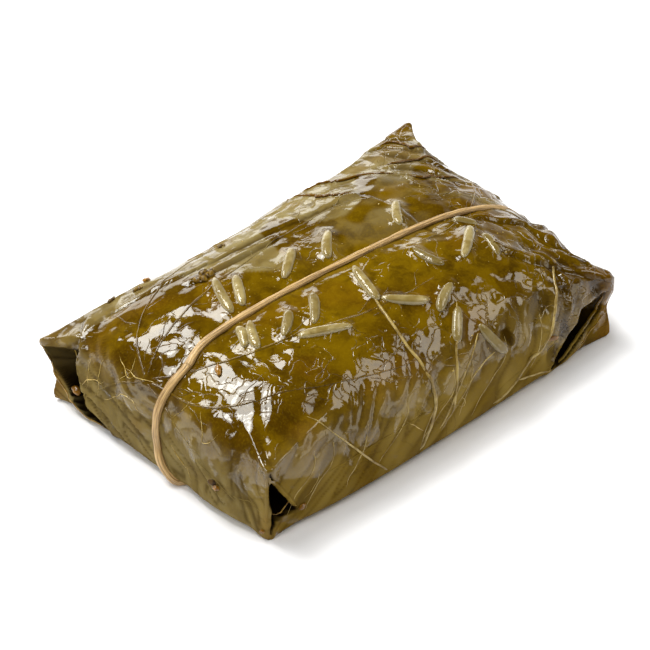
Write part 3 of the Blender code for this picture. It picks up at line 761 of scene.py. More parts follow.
def cooked_leaf():
    leaf = Finish("cooked_leaf")
    glow, pale, flap, toast, shade, hollow, wet, crisp = (leaf.attribute(name) for name in (
        "glow", "pale", "flap", "toast", "shade", "hollow", "wet", "crisp"))
    large = leaf.noise(0.10, 2.0, distortion=0.8)
    small = leaf.noise(0.30, 4.0, distortion=0.6)
    grain = leaf.noise(2.2, 3.0)
    clouds = leaf.noise(0.16, 2.0, distortion=0.6)
    even = leaf.sum(leaf.sum(1.0, pale, -0.9), glow, -0.45)
    colour = leaf.layers(
        leaf.blend(leaf.ramp(large, 0.40, 0.58), DARK_OLIVE, LIGHT_OLIVE),
        (leaf.times(glow, leaf.ramp(clouds, 0.42, 0.60, 0.35, 1.0)), OVER_RICE),
        (leaf.times(leaf.ramp(small, 0.44, 0.70, 0.0, 0.80), leaf.maths("MAXIMUM", even, 0.0)), MOTTLE),
        # pale: painted light on fold crowns and painted sheen on the sides
        (pale, PALE),
        # flap: the paler outer flap, and painted sheen on grey patches
        (leaf.times(flap, leaf.ramp(small, 0.42, 0.62, 1.0, 0.62)), FLAP_AND_SHEEN_GREY),
        (leaf.times(toast, 0.85), TOASTED),
        (leaf.ramp(grain, 0.45, 0.75, 0.0, 0.18), SPECKLE),
        # painted shade in creases and beside edges, painted shadow along the brown rims, and the dark spot's
        # own colour
        (leaf.times(shade, 0.75), IN_CREASES),
        # painted shade in the pockets
        (hollow, HOLLOW_SHADE))
    line = leaf.maths("ABSOLUTE", leaf.sum(leaf.noise(0.30, 1.0, distortion=0.5), -0.5))
    calm = leaf.sum(1.0, glow, -0.45)
    normal = leaf.bump(leaf.times(leaf.noise(0.22, 1.0, distortion=0.4), calm), 0.40)
    normal = leaf.bump(leaf.times(leaf.noise(0.70, 0.6), calm), 0.055, normal)
    normal = leaf.bump(leaf.times(leaf.ramp(line, 0.0, 0.03), crisp), 0.07, normal)
    normal = leaf.bump(grain, 0.012, normal)
    puddles = leaf.sum(leaf.noise(0.17, 4.0, distortion=1.2), leaf.sum(wet, -0.5), 1.0)
    # painted shade: no wet coat inside the pockets, so they stay dark
    coat = leaf.times(leaf.ramp(puddles, 0.46, 0.53, 0.06, 1.0), leaf.sum(1.0, hollow, -1.0))
    leaf.tree.links.new(coat, leaf.shader.inputs["Coat Weight"])
    return leaf.done(colour, leaf.ramp(small, 0.3, 0.7, 0.45, 0.60), normal,
                     Coat_Roughness=0.03, Coat_IOR=1.5, Specular_IOR_Level=0.0)


leaf_finish = cooked_leaf()

# %% [markdown]
# ## What the leaf finish needs to know
# A material alone can't tell the top of the parcel from its ends. So numbers ride on the points of
# the skin: how much the filling glows through, how pale, grey, toasted or wet the leaf is, and how
# crisp its fine wrinkles are. The paleness on the crowns of folds is painted light, and part of the
# paleness and greyness of the sides and the far corner is painted sheen. A paler outer flap covers
# the back as far as its edge.

# %% What the leaf finish needs to know
FLAP_EDGE = ((-44.0, 23.0), (-29.7, 20.1), (-21.3, 19.2), (-19.7, 16.6), (-14.0, 10.3), (-8.1, 5.2),
             (-5.2, 7.0), (-2.6, 16.8), (1.9, 18.6), (6.7, 10.2), (10.6, 9.2), (15.7, 10.5), (18.5, 15.0),
             (22.0, 19.0), (29.5, 17.8), (31.0, 24.0), (44.0, 30.0))


def leaf_numbers(points):
    """What the leaf finish needs at each point, apart from the creases and hollows."""
    x, y, z = points.T
    down_the_end, slanting, lengthwise = side_folds(points)
    low = smooth_step(-z, -17, -7)
    end = smooth_step(-x, 37, 41)
    pressed = smooth_step(0.80 * x - 0.60 * y, 33, 41) * smooth_step(z, 4.5, 9)
    front = smooth_step(-y, 24, 27.5) * (1 - pressed)

    glow = smooth_step(z, 16, 21) * np.exp(-((x + 4) / 28) ** 2 - ((y + 5) / 18) ** 2)
    glow = glow * (0.65 + 0.6 * bumps(points, 8, 20))

    # grey patches and the outer flap: painted sheen as patches at the far corner, a dull place beside
    # them and the lower near end, and the paler outer flap, streaked lighter on its fold crowns as
    # painted light
    flap = smooth_step(y - np.interp(x, *np.array(FLAP_EDGE).T), -0.2, 0.4) * smooth_step(z, 5, 10)
    flap_and_sheen = 0.62 * smooth_step(0.73 * x + 0.68 * y, 22, 27) * smooth_step(z, 11, 14) * (1 - flap)
    flap_and_sheen *= smooth_step(bumps(points, (8, 5, 5), 36), -0.08, -0.02)
    dull = np.exp(-((x - 15) / 11) ** 2 - ((y - 5.5) / 5.5) ** 2) * smooth_step(z, 14, 18) * (1 - flap)
    flap_and_sheen += 0.50 * dull * smooth_step(bumps(points, (5, 4, 5), 38), -0.25, 0.05)
    flap_and_sheen += 0.85 * end * low * (0.75 + 0.25 * down_the_end)
    streaked = 0.62 + 0.3 * smooth_step(lengthwise, 0.1, 0.6) + 0.25 * bumps(points, (14, 6, 6), 32)
    flap_and_sheen += (flap * (0.15 + 0.85 * smooth_step(x, -40, -30)) * (1 - 0.45 * smooth_step(-z, -16, -9))
               * streaked)

    # pale: along the back, the front and the far end, with streaks down the near end. The paler crowns
    # of the folds are painted light, and the paleness of the sides is partly painted sheen.
    pale = 0.30 * smooth_step(y, 12, 26) * smooth_step(lengthwise, 0.1, 0.7)
    pale += smooth_step(-y, 21, 27.5) * (0.48 + 0.30 * smooth_step(slanting, 0.1, 0.7)) * (0.6 + 0.4 * low)
    pale += 0.30 * smooth_step(x, 39, 42)
    across_end, along_end = end_grain(points)
    stretched = np.stack((x / 9, across_end / 1.3, along_end / 11), axis=1)
    streaks = smooth_step(bumps(stretched, 1, 27), -0.15, 0.45)
    pale += smooth_step(-x, 36, 41) * (0.05 + 0.10 * down_the_end + 0.46 * streaks) * (0.25 + 0.75 * low)
    pale = pale * (1 + 0.9 * bumps(points, (7, 7, 11), 23)) * (1 - 0.5 * smooth_step(x, 26, 38))
    pale *= 1 - 0.85 * pressed

    wet = 0.66 - 0.10 * low - (0.20 * front + 0.24 * end) * low + 0.10 * pressed - 0.13 * flap
    wet += 0.05 * bumps(points, (9, 9, 7), 22)
    crisp = 0.04 + 0.96 * smooth_step(bumps(points, 14, 26) + smooth_step(x, 18, 34) - 0.2 * low, 0.2, 0.6)

    # toasted: the corners, and patches away from the front
    corner = smooth_step(abs(x) / 43 * abs(y) / 28, 0.74, 0.97)
    toast = corner * (0.50 + 0.45 * bumps(points, 6, 24)) * (1 - 0.6 * smooth_step(z, 7, 12))
    toast += 0.35 * corner * smooth_step(-z, -7, -3)
    toast += 0.25 * smooth_step(bumps(points, 8, 25), 0.15, 0.5) * (1 - 0.8 * front)
    # the flap number carries the outer flap and the painted sheen
    return {"glow": np.clip(glow, 0, 1), "pale": np.clip(pale, 0, 1), "wet": wet,
            "toast": np.clip(toast, 0, 1), "crisp": crisp, "flap": flap_and_sheen}


skin_numbers = leaf_numbers(plain_skin)
print({name: float(values.mean().round(2)) for name, values in skin_numbers.items()})

# %% [markdown]
# ## The leaf skin
# The heights, the pockets and the numbers are in place, so the skin becomes an object. How deep a
# point lies in a crease or a hollow is added to its numbers as painted shade, and so is one small
# dark spot on the front, which is a colour only.

# %% The leaf skin
SPOT_PLACE, SPOT_SHAPE = (15.8, -26.0, 13.6), (1.0, 1.0, 1.4)
# painted shade: the hollow and shade numbers darken pockets and creases; the dark spot is the leaf's own
# colour
skin_numbers["hollow"] = hollow
skin_numbers["crisp"] = np.maximum(skin_numbers["crisp"], 0.7 * smooth_step(fillets, 0.02, 0.25))
from_spot = np.linalg.norm((plain_skin - SPOT_PLACE) / SPOT_SHAPE, axis=1)
in_spot = 1 - smooth_step(from_spot + 0.5 * bumps(plain_skin, 1.3, 39), 1.0, 1.5)
skin_numbers["shade"] = np.maximum(shade, 1.2 * in_spot)
skin_numbers["wet"] = skin_numbers["wet"] - 0.3 * in_spot
make_piece("leaf_skin", skin_points, skin_quads, leaf_finish, *LEAF, skin_numbers)
skin_tree = BVHTree.FromPolygons(skin_points.tolist(), skin_quads.tolist())

# %% [markdown]
# ## Rice
# Long grain rice is a blunt rod, about four times as long as wide, with faint ridges from its husk.
# Boiled in leaf juice it turns creamy and a little clear, so light enters it. Each grain is a ring
# of points swept along a slightly bent line. Some grains lie under a film of leaf. They are listed
# by number with how much it hides them.

# %% Rice
GRAIN_RINGS, GRAIN_SIDES, GRAIN_BEND = 26, 24, 0.22
SEAT_SINK, VEILED_SINK = 0.05, 0.35
VEILED = {1: 0.25, 5: 0.35, 7: 0.4, 13: 0.5, 14: 0.6, 15: 0.65, 16: 0.35, 17: 0.35, 18: 0.5}
# among these colours are painted shade for a band along each grain's sides and painted light for its rim
DARK_RICE, PALE_RICE, RICE_SIDE_SHADE = (0.36, 0.252, 0.066), (0.60, 0.475, 0.205), (0.24, 0.160, 0.030)
RICE_RIM_LIGHT, RICE_STAIN, LEAF_FILM = (0.72, 0.62, 0.36), (0.25, 0.165, 0.035), (0.170, 0.105, 0.008)


def grain_shape(length, width, thickness, bend):
    """Points and quads of one grain lying along x, and how near each point is to its outer edge, where the
    finish paints light.
    """
    along = np.sin(np.linspace(-np.pi / 2, np.pi / 2, GRAIN_RINGS))
    radius = (1 - abs(along) ** 3.6) ** 0.5 * (1 - 0.12 * along * np.sign(bend))
    turn = np.linspace(0, 2 * np.pi, GRAIN_SIDES, endpoint=False)
    squared = (abs(np.cos(turn)) ** 2.4 + abs(np.sin(turn)) ** 2.4) ** (-1 / 2.4)
    points = np.empty((GRAIN_RINGS, GRAIN_SIDES, 3))
    points[:, :, 1] = np.outer(radius, np.cos(turn) * squared) * width / 2
    points[:, :, 2] = np.outer(radius, np.sin(turn) * squared) * thickness / 2
    points[:, :, 0] = along[:, None] * (length / 2 - 0.25 * points[:, :, 1] * np.sign(bend))
    points[:, :, 1] += bend * (1 - along ** 2)[:, None]
    edge = np.maximum(np.abs(np.cos(turn))[None, :], (abs(along) ** 7)[:, None])
    return points.reshape(-1, 3), tube_quads(GRAIN_RINGS, GRAIN_SIDES), edge.ravel()


def tube_quads(rings, sides, closed=False):
    """Quads of a tube whose points go round ring after ring. Its ends are shut unless it is a closed loop."""
    index = np.arange(rings * sides).reshape(rings, sides)
    ahead = np.roll(index, -1, axis=0)
    quads = np.stack((index, np.roll(index, -1, axis=1), np.roll(ahead, -1, axis=1), ahead), axis=-1)
    faces = quads[:rings if closed else rings - 1].reshape(-1, 4).tolist()
    if not closed:
        faces += [index[0, ::-1].tolist(), index[-1].tolist()]
    return faces


def join(shapes):
    """Several lists of points and faces as one."""
    points, faces, count = [], [], 0
    for some_points, some_faces in shapes:
        points.append(np.asarray(some_points))
        faces += [[corner + count for corner in face] for face in some_faces]
        count += len(some_points)
    return np.concatenate(points), faces


one_grain, *_ = grain_shape(7.0, GRAIN_WIDTH, GRAIN_THICKNESS, GRAIN_BEND)
print("a grain 7 mm long measures", np.ptp(one_grain, axis=0).round(2))

# %% [markdown]
# ## The finish of the rice, and the grains in place
# A cooked grain is cloudy inside and clear at its rim, and the leaf has stained it here and there.
# Its rim and ends are painted lighter as painted light, and a band along its sides darker as painted shade.
# Light that enters it makes it soft, so the finish lets a share of the light through under a wet
# coat. Each grain is then turned to its heading and sunk into the leaf.

# %% The finish of the rice, and the grains in place
def rice_finish():
    rice = Finish("boiled_rice")
    edge = rice.attribute("edge")
    colour = rice.layers(
        rice.blend(rice.ramp(rice.noise(0.45, 2.0), 0.32, 0.68), DARK_RICE, PALE_RICE),
        # painted shade on the sides of each grain, painted light on its rim and ends
        (rice.ramp(edge, 0.40, 0.62, 0.0, 0.22), RICE_SIDE_SHADE),
        (rice.ramp(edge, 0.66, 0.90, 0.0, 0.72), RICE_RIM_LIGHT),
        (rice.ramp(rice.noise(1.6, 2.0), 0.55, 0.75, 0.0, 0.5), RICE_STAIN),
        (rice.attribute("veil"), LEAF_FILM))
    normal = rice.bump(rice.noise(1.1, 3.0), 0.12)
    return rice.done(colour, 0.30, normal, Coat_Weight=1.0, Coat_Roughness=0.04, Coat_IOR=1.5,
                     Transmission_Weight=0.42, IOR=1.34, Specular_IOR_Level=0.3)


grain_shapes, grain_edges, grain_veils = [], [], []
for number, ((spot, forward, sideways, up), (_, _, _, length)) in enumerate(zip(grain_frames, GRAINS)):
    bend = GRAIN_BEND * math.sin(2.4 * number)
    points, faces, edge = grain_shape(length, GRAIN_WIDTH, GRAIN_THICKNESS, bend)
    veil = VEILED.get(number, 0.0)
    seat = spot + up * (GRAIN_THICKNESS / 2 - GRAIN_SINK - SEAT_SINK - VEILED_SINK * veil)
    grain_shapes.append((seat + points @ np.array((forward, sideways, up)), faces))
    grain_edges.append(edge)
    grain_veils.append(np.full(len(edge), veil))
rice_numbers = {"edge": np.concatenate(grain_edges), "veil": np.concatenate(grain_veils)}
make_piece("rice_grains", *join(grain_shapes), rice_finish(), *LEAF, rice_numbers)

# %% [markdown]
# ## The dried stem
# The tie is a strip split from a vine stem: flattish, tan, with long fibres that catch the light.
# It is one closed loop over the top and back underneath. A tube follows the same route as the
# solid, and its section carries ridges that twist slowly along it.

# %% The dried stem
STEM_RADIUS, STEM_FLATNESS, STEM_STAND, STEM_FLOOR_HEIGHT = 0.65, 0.86, 0.25, 0.75
STEM_RINGS, STEM_SIDES, END_STEPS, STEM_CLEARANCE = 620, 30, 24, 0.12
DARK_STRAW, PALE_STRAW = (0.20, 0.105, 0.026), (0.62, 0.40, 0.160)
BRIGHT_THREAD, STRAW_STAIN = (0.68, 0.49, 0.25), (0.27, 0.145, 0.038)


def smooth_route(points, count, closed=False):
    """Evenly spaced points along a smooth Blender curve through the given ones."""
    guide = bpy.data.curves.new("guide", "CURVE")
    guide.dimensions = "3D"
    guide.resolution_u = 16
    spline = guide.splines.new("BEZIER")
    spline.bezier_points.add(len(points) - 1)
    spline.use_cyclic_u = closed
    for knot, point in zip(spline.bezier_points, points):
        knot.co = point
        knot.handle_left_type = knot.handle_right_type = "AUTO"
    holder = bpy.data.objects.new("guide", guide)
    run = np.array([tuple(vert.co) for vert in holder.to_mesh().vertices])
    holder.to_mesh_clear()
    bpy.data.objects.remove(holder)
    bpy.data.curves.remove(guide)
    if closed:
        run = np.vstack((run, run[:1]))
    lengths = np.concatenate(((0,), np.cumsum(np.linalg.norm(np.diff(run, axis=0), axis=1))))
    want = np.linspace(0, lengths[-1], count, endpoint=not closed)
    return np.stack([np.interp(want, lengths, run[:, axis]) for axis in range(3)], axis=1)


def stem_route(count):
    """Centre points of the stem: over the top, down the far end, back under and up the near end."""
    steps = np.linspace(0, 1, END_STEPS + 1)
    side = 3 * np.arange(1, END_STEPS // 3) / END_STEPS
    rest = (1 - side) ** 3
    over = (2 * steps - 1, lookup(STEM_TOP_ROUTE, (2 * steps - 1) * NEAR_LENGTH), steps * 0 + 1)
    down = (side * 0 + 1, STEM_TOP_ROUTE[-1][1] * (1 - side) + STEM_BASE_ROUTE[-1][1] * side, 1 - 2 * side)
    under = (1 - 2 * steps, lookup(STEM_BASE_ROUTE, (1 - 2 * steps) * NEAR_LENGTH), steps * 0 - 1)
    up = (side * 0 - 1, STEM_BASE_ROUTE[0][1] * rest + STEM_TOP_ROUTE[0][1] * (1 - rest), 2 * side - 1)
    u, y, w = (np.concatenate(part) for part in zip(over, down, under, up))
    knots = parcel_points(np.stack((u, y / FRONT_WIDTH, w), axis=1))
    knots += outward(knots) * STEM_STAND
    route = smooth_route(knots.tolist(), count, closed=True)
    route[:, 2] = np.maximum(route[:, 2], STEM_FLOOR_HEIGHT)
    return route


def stem_shape():
    """Points and quads of the stem, and its fibre numbers: a circle round it and millimetres along it."""
    route = stem_route(STEM_RINGS)
    tangent = unit(np.roll(route, -1, axis=0) - np.roll(route, 1, axis=0))
    sideways = unit(np.cross(outward(route), tangent))
    up = np.cross(tangent, sideways)
    turn = np.linspace(0, 2 * np.pi, STEM_SIDES, endpoint=False)
    share = np.linspace(0, 1, STEM_RINGS, endpoint=False)[:, None]
    near = smooth_step(-route[:, 0], 10, 40)[:, None]
    strand = turn[None, :] + 0.5 * np.sin(2 * np.pi * share * 3)
    ridges = 0.06 * np.abs(np.sin(3.5 * strand))
    ridges += 0.03 * np.cos(9 * strand + 6 * np.sin(2 * np.pi * share * 5))
    wobble = 0.05 * np.sin(2 * np.pi * share * 17) + 0.04 * np.sin(2 * np.pi * share * 41 + 1)
    radius = STEM_RADIUS * (0.86 + 0.34 * near + ridges + wobble)
    ring = (sideways[:, None, :] * (np.cos(turn)[None, :] * radius)[:, :, None]
            + up[:, None, :] * (np.sin(turn)[None, :] * radius * STEM_FLATNESS)[:, :, None])
    points = (route[:, None, :] + ring).reshape(-1, 3)
    points[:, 2] = np.maximum(points[:, 2], STEM_CLEARANCE)
    around = np.tile(np.stack((np.cos(turn), np.sin(turn)), axis=1), (STEM_RINGS, 1))
    total = np.linalg.norm(np.diff(route, axis=0), axis=1).sum()
    along = np.repeat(share[:, 0], STEM_SIDES) * total
    return points, tube_quads(STEM_RINGS, STEM_SIDES, closed=True), np.column_stack((around, along))


stem_points, stem_faces, stem_fibre = stem_shape()
print("the stem has", len(stem_points), "points and stands", stem_points[:, 2].max().round(2), "mm high")

# %% [markdown]
# ## The finish of the stem
# The fibres of a stalk run along it. The points of the tube carry their place round and along the
# stem, so noise that is squeezed along it turns into fine lengthwise streaks, whatever way the stem
# bends.

# %% The finish of the stem
def stem_finish():
    stem = Finish("dried_stem")
    where = stem.add("Attribute", attribute_name="fibre").outputs["Vector"]
    stretched = stem.add("VectorMath", operation="MULTIPLY", i0=where, i1=(1.0, 1.0, 0.05)).outputs[0]
    streaks = stem.noise(3.2, 4.0, vector=stretched)
    threads = stem.noise(9.0, 2.0, vector=stretched)
    colour = stem.layers(
        stem.blend(stem.ramp(streaks, 0.35, 0.62), DARK_STRAW, PALE_STRAW),
        (stem.ramp(threads, 0.55, 0.75, 0.0, 0.6), BRIGHT_THREAD),
        (stem.ramp(stem.noise(0.35, 2.0), 0.5, 0.75, 0.0, 0.40), STRAW_STAIN))
    normal = stem.bump(threads, 0.05, stem.bump(streaks, 0.12))
    return stem.done(colour, stem.ramp(streaks, 0.3, 0.7, 0.55, 0.38), normal,
                     Coat_Weight=0.25, Coat_Roughness=0.25)


make_piece("stem_tie_fibres", stem_points, stem_faces, stem_finish(), *STEM, {"fibre": stem_fibre})

# %% [markdown]
# ## Ribs and veins
# A vine leaf turned inside out shows its ribs standing proud like cords. They run over the shoulder
# of the parcel and thin out to threads. Each is laid as a tapered tube, half sunk, along the
# surface: a few places are given, a smooth curve joins them, and every point of it is moved to the
# nearest place on the skin.

# %% Ribs and veins
TUBE_STEP = 0.45
PALE_RIB, DARK_RIB = (0.400, 0.290, 0.090), (0.200, 0.125, 0.020)


def lay_on_skin(knots, count):
    """Points and outward directions of a smooth line laid on the leaf through some places near it."""
    run = smooth_route([tuple(knot) for knot in knots], count)
    landed = [skin_tree.find_nearest(Vector(point)) for point in run.tolist()]
    spots = np.array([tuple(spot) for spot, *_ in landed])
    return spots, np.array([tuple(normal) for _, normal, *_ in landed])


def tube_along(spine, normals, radius, sides=7, lift=0.1, flat=1.0):
    """A tapered tube along points on the leaf. Its ends sink in. flat is its width over its height."""
    count = len(spine)
    tangent = unit(np.gradient(spine, axis=0))
    across = unit(np.cross(normals, tangent))
    up = np.cross(tangent, across)
    share = np.linspace(0, 1, count)
    radii = np.interp(share, np.linspace(0, 1, len(radius)), radius)
    ends = np.minimum(1, np.minimum(share, 1 - share) * count / 3.0)
    centre = spine + up * (radii * lift - (1 - ends) * radii)[:, None]
    turn = np.linspace(0, 2 * np.pi, sides, endpoint=False)
    ring = (across[:, None, :] * (np.cos(turn) * flat)[None, :, None]
            + up[:, None, :] * np.sin(turn)[None, :, None])
    points = centre[:, None, :] + ring * (radii * (0.35 + 0.65 * ends))[:, None, None]
    return points.reshape(-1, 3), tube_quads(count, sides)


def run_length(knots):
    return sum(math.dist(start, end) for start, end in zip(knots, knots[1:]))


def laid_tube(knots, radius, **shape):
    """A tube on the leaf along a smooth line through some places near it."""
    return tube_along(*lay_on_skin(knots, max(8, int(run_length(knots) / TUBE_STEP))), radius, **shape)


print("one millimetre of tube has", round(1 / TUBE_STEP, 1), "rings")

# %% [markdown]
# ## The main veins
# The widest veins are listed one by one, each given by its radii from start to end and its places.
# Nine thread veins follow one rule: they leave the shoulder at even distances and slant down the
# front, each a little different from the last.

# %% The main veins
MAIN_VEINS = (
    ((0.30, 0.34), ((-1.1, -10.3, 22.5), (-2.7, -18.7, 19.9), (-2.8, -25.1, 15.5))),
    ((0.38, 0.42, 0.30), ((-2.8, -24.6, 15.9), (-2.4, -26.9, 12.4), (-3.2, -27.9, 8.4), (-4.8, -27.9, 4.4),
                          (-6.6, -27.7, 1.6))),
    ((0.08, 0.22, 0.20), ((-27.1, -21.5, 18.2), (-22.7, -26.4, 13.2), (-18.1, -27.6, 7.1),
                          (-13.6, -27.5, 1.7))),
    ((0.16, 0.28, 0.24), ((10.8, -18.5, 19.8), (5.7, -23.9, 17.2), (3.5, -26.3, 13.3), (1.2, -27.9, 7.7),
                          (-1.5, -27.9, 3.0))),
    ((0.20, 0.34, 0.36, 0.22), ((34.1, -18.0, 16.5), (31.4, -21.3, 15.8), (28.5, -24.6, 13.8),
                                (25.8, -26.5, 10.9), (23.2, -27.0, 8.3), (19.5, -27.6, 6.9),
                                (15.8, -27.7, 3.6), (10.6, -27.8, 2.0))),
    ((0.24, 0.14), ((16.9, -27.7, 4.0), (21.9, -27.5, 2.5), (26.0, -26.9, 1.1))),
    ((0.14, 0.26, 0.20), ((10.7, -23.9, 16.5), (6.0, -26.5, 13.1), (1.3, -27.8, 8.7), (-2.2, -27.8, 4.1))),
    ((0.14, 0.20, 0.16), ((12.5, -26.9, 12.9), (8.1, -27.0, 11.6), (5.0, -27.5, 9.8), (1.2, -27.9, 6.6),
                          (0.1, -27.9, 5.2))),
)
VEIN_SLIMNESS, THREAD_VEINS = 0.74, 9
vein_shapes = [laid_tube(knots, np.array(radius) * VEIN_SLIMNESS, lift=0.2, flat=1.25)
               for radius, knots in MAIN_VEINS]
for number in range(THREAD_VEINS):
    start = -30 + 6.4 * number + 2.4 * math.sin(5 * number)
    slant = 6.0 + 3.0 * math.sin(3 * number)
    low = 3.2 + 1.4 * math.cos(4 * number)
    knots = ((start + 1.5, -25.6, 14.6), (start, -27.4, 10.8), (start - slant * 0.5, -27.9, 7.5),
             (start - slant, -27.9, low))
    vein_shapes.append(laid_tube(knots, (0.05, 0.13, 0.12, 0.05), sides=5, lift=-0.1))


def rib_finish():
    rib = Finish("leaf_rib")
    colour = rib.blend(rib.ramp(rib.noise(0.5, 3.0), 0.35, 0.65), DARK_RIB, PALE_RIB)
    normal = rib.bump(rib.noise(2.5, 2.0), 0.05)
    return rib.done(colour, 0.5, normal, Coat_Weight=0.7, Coat_Roughness=0.08, Specular_IOR_Level=0.2)


make_piece("leaf_veins", *join(vein_shapes), rib_finish(), *LEAF)

# %% [markdown]
# ## The net of small veins
# Between its ribs a vine leaf carries side veins that leave at about 50 degrees, and short cross
# veins between those. They are grown, not drawn: each starts on its parent and steps over the skin
# half a millimetre at a time, turning a little at every step. In the wet film they show as fine
# dark lines that break up the shine.

# %% The net of small veins
STRIDE = 0.5
THIN_RIB_STEPS, MAIN_RIB_STEPS = 18, 16
THIN_RIB_RADII, SIDE_VEIN_RADII = (0.15, 0.17, 0.12, 0.06), (0.10, 0.09, 0.05)
NET_RADII = (0.055, 0.05, 0.035)
LEAF_FOOT = (-39.0, 5.0, 15.8)
FAR_CORNER, FAR_CORNER_REACH = (0.73, 0.68, 0.0), 29
THIN_RIBS = (
    ((22.4, 21.7, 18.0), (26.4, 14.2, 19.6), (33.5, 8.2, 18.5), (38.5, 5.7, 16.5)),
    (LEAF_FOOT, (-34.5, 12.5, 18.6), (-23.0, 19.0, 20.0), (-9.0, 22.0, 19.6), (6.0, 23.5, 18.8)),
    (LEAF_FOOT, (-31.0, 8.5, 20.3), (-15.0, 11.0, 22.0), (3.0, 13.0, 22.0), (16.0, 12.0, 21.4)),
    (LEAF_FOOT, (-32.0, -3.0, 20.0), (-17.0, -9.0, 22.0), (-1.0, -12.5, 22.0), (12.0, -13.0, 21.4)),
    (LEAF_FOOT, (-36.5, -9.5, 17.6), (-26.0, -17.0, 20.0), (-11.0, -22.0, 18.4), (2.0, -24.0, 16.8)),
    (LEAF_FOOT, (-41.0, -5.0, 13.0), (-41.6, -13.0, 9.0), (-41.0, -20.0, 5.0)),
    (LEAF_FOOT, (-41.0, 11.0, 12.6), (-41.6, 16.0, 8.0)),
    ((41.0, 14.0, 12.0), (36.0, 3.0, 17.5), (25.0, -4.0, 21.0), (12.0, -4.5, 22.3)),
    ((42.5, -18.0, 9.0), (40.0, -9.0, 14.0), (33.0, 2.0, 19.0), (22.0, 7.0, 21.4)),
    ((43.0, 10.0, 6.0), (42.5, 0.0, 9.0), (41.5, -10.0, 11.0), (40.0, -19.0, 12.0)),
    ((-30.0, 26.8, 9.0), (-12.0, 27.2, 8.0), (8.0, 27.0, 9.0), (26.0, 26.5, 8.0)),
    ((-28.0, -27.4, 9.0), (-12.0, -27.8, 9.5), (6.0, -27.6, 10.0)),
    ((-34.0, -10.0, 0.0), (-12.0, -15.0, 0.0), (12.0, -14.0, 0.0), (33.0, -20.0, 0.0)),
    ((-34.0, 8.0, 0.0), (-12.0, 12.0, 0.0), (12.0, 15.0, 0.0), (33.0, 8.0, 0.0)),
)


def walk(start, heading, length, bend, number):
    """Points and outward directions of a line that steps over the leaf, turning a little each time."""
    spots, normals = [], []
    spot = Vector(start)
    heading = Vector(heading)
    for step in range(max(4, int(length / STRIDE))):
        landed, normal, *_ = skin_tree.find_nearest(spot)
        spots.append(tuple(landed))
        normals.append(tuple(normal))
        turn = bend + 0.22 * math.sin(1.9 * number + 0.8 * step)
        side = normal.cross(heading)
        heading = heading * math.cos(turn) + side * math.sin(turn)
        heading = (heading - normal * heading.dot(normal)).normalized()
        spot = landed + heading * STRIDE
    return np.array(spots), np.array(normals)


def branch_off(spine, normals, spacing, angle, length, bend, number):
    """Side lines that leave a line on both sides in turn. Each is a pair of points and directions."""
    pace = max(1, round(spacing / max(np.linalg.norm(spine[1] - spine[0]), 1e-6)))
    lines = []
    for count, place in enumerate(range(pace, len(spine) - 1, pace)):
        side = 1 if count % 2 else -1
        ahead = Vector(spine[place + 1] - spine[place - 1]).normalized()
        across = Vector(normals[place]).cross(ahead)
        turn = side * math.radians(angle + 9 * math.sin(2.3 * count + number))
        heading = ahead * math.cos(turn) + across * math.sin(turn)
        reach = length * (0.75 + 0.35 * math.sin(1.7 * count + 3 * number))
        lines.append(walk(spine[place], heading, reach, -side * bend, count + 7 * number))
    return lines


thin_shapes, net_shapes = [], []
parents = [lay_on_skin(knots, THIN_RIB_STEPS * len(knots)) for knots in THIN_RIBS]
parents += [lay_on_skin(knots, MAIN_RIB_STEPS * len(knots)) for _, knots in MAIN_VEINS]
for number, (spine, normals) in enumerate(parents):
    if number < len(THIN_RIBS):
        thin_shapes.append(tube_along(spine, normals, THIN_RIB_RADII, lift=-0.2, flat=1.4))
    for count, side_line in enumerate(branch_off(spine, normals, 3.4, 48, 9.0, 0.035, number)):
        if side_line[0][0] @ FAR_CORNER > FAR_CORNER_REACH:
            continue
        thin_shapes.append(tube_along(*side_line, SIDE_VEIN_RADII, sides=5, lift=-0.25, flat=1.3))
        for short in branch_off(*side_line, 1.9, 66, 2.6, 0.05, number + count):
            net_shapes.append(tube_along(*short, NET_RADII, sides=4, lift=-0.2))
for name, shapes in (("leaf_side_veins", thin_shapes), ("leaf_vein_net", net_shapes)):
    points, faces = join(shapes)
    make_piece(name, points, faces, leaf_finish, *LEAF, leaf_numbers(points))

# %% [markdown]
# ## Rolled rims and golden edges
# Where a leaf ends at a pocket its margin rolls over and shows as a thin rounded rim. Two edges of
# the outer leaf and three folds near the far corner have browned, and cross the top as dark lines;
# part of their darkness is painted shadow along the edges.
# The cut edges at the ends have dried a little and catch the light as golden lines. All of them are
# laid as thin tubes, given by their radii from start to end and their places.

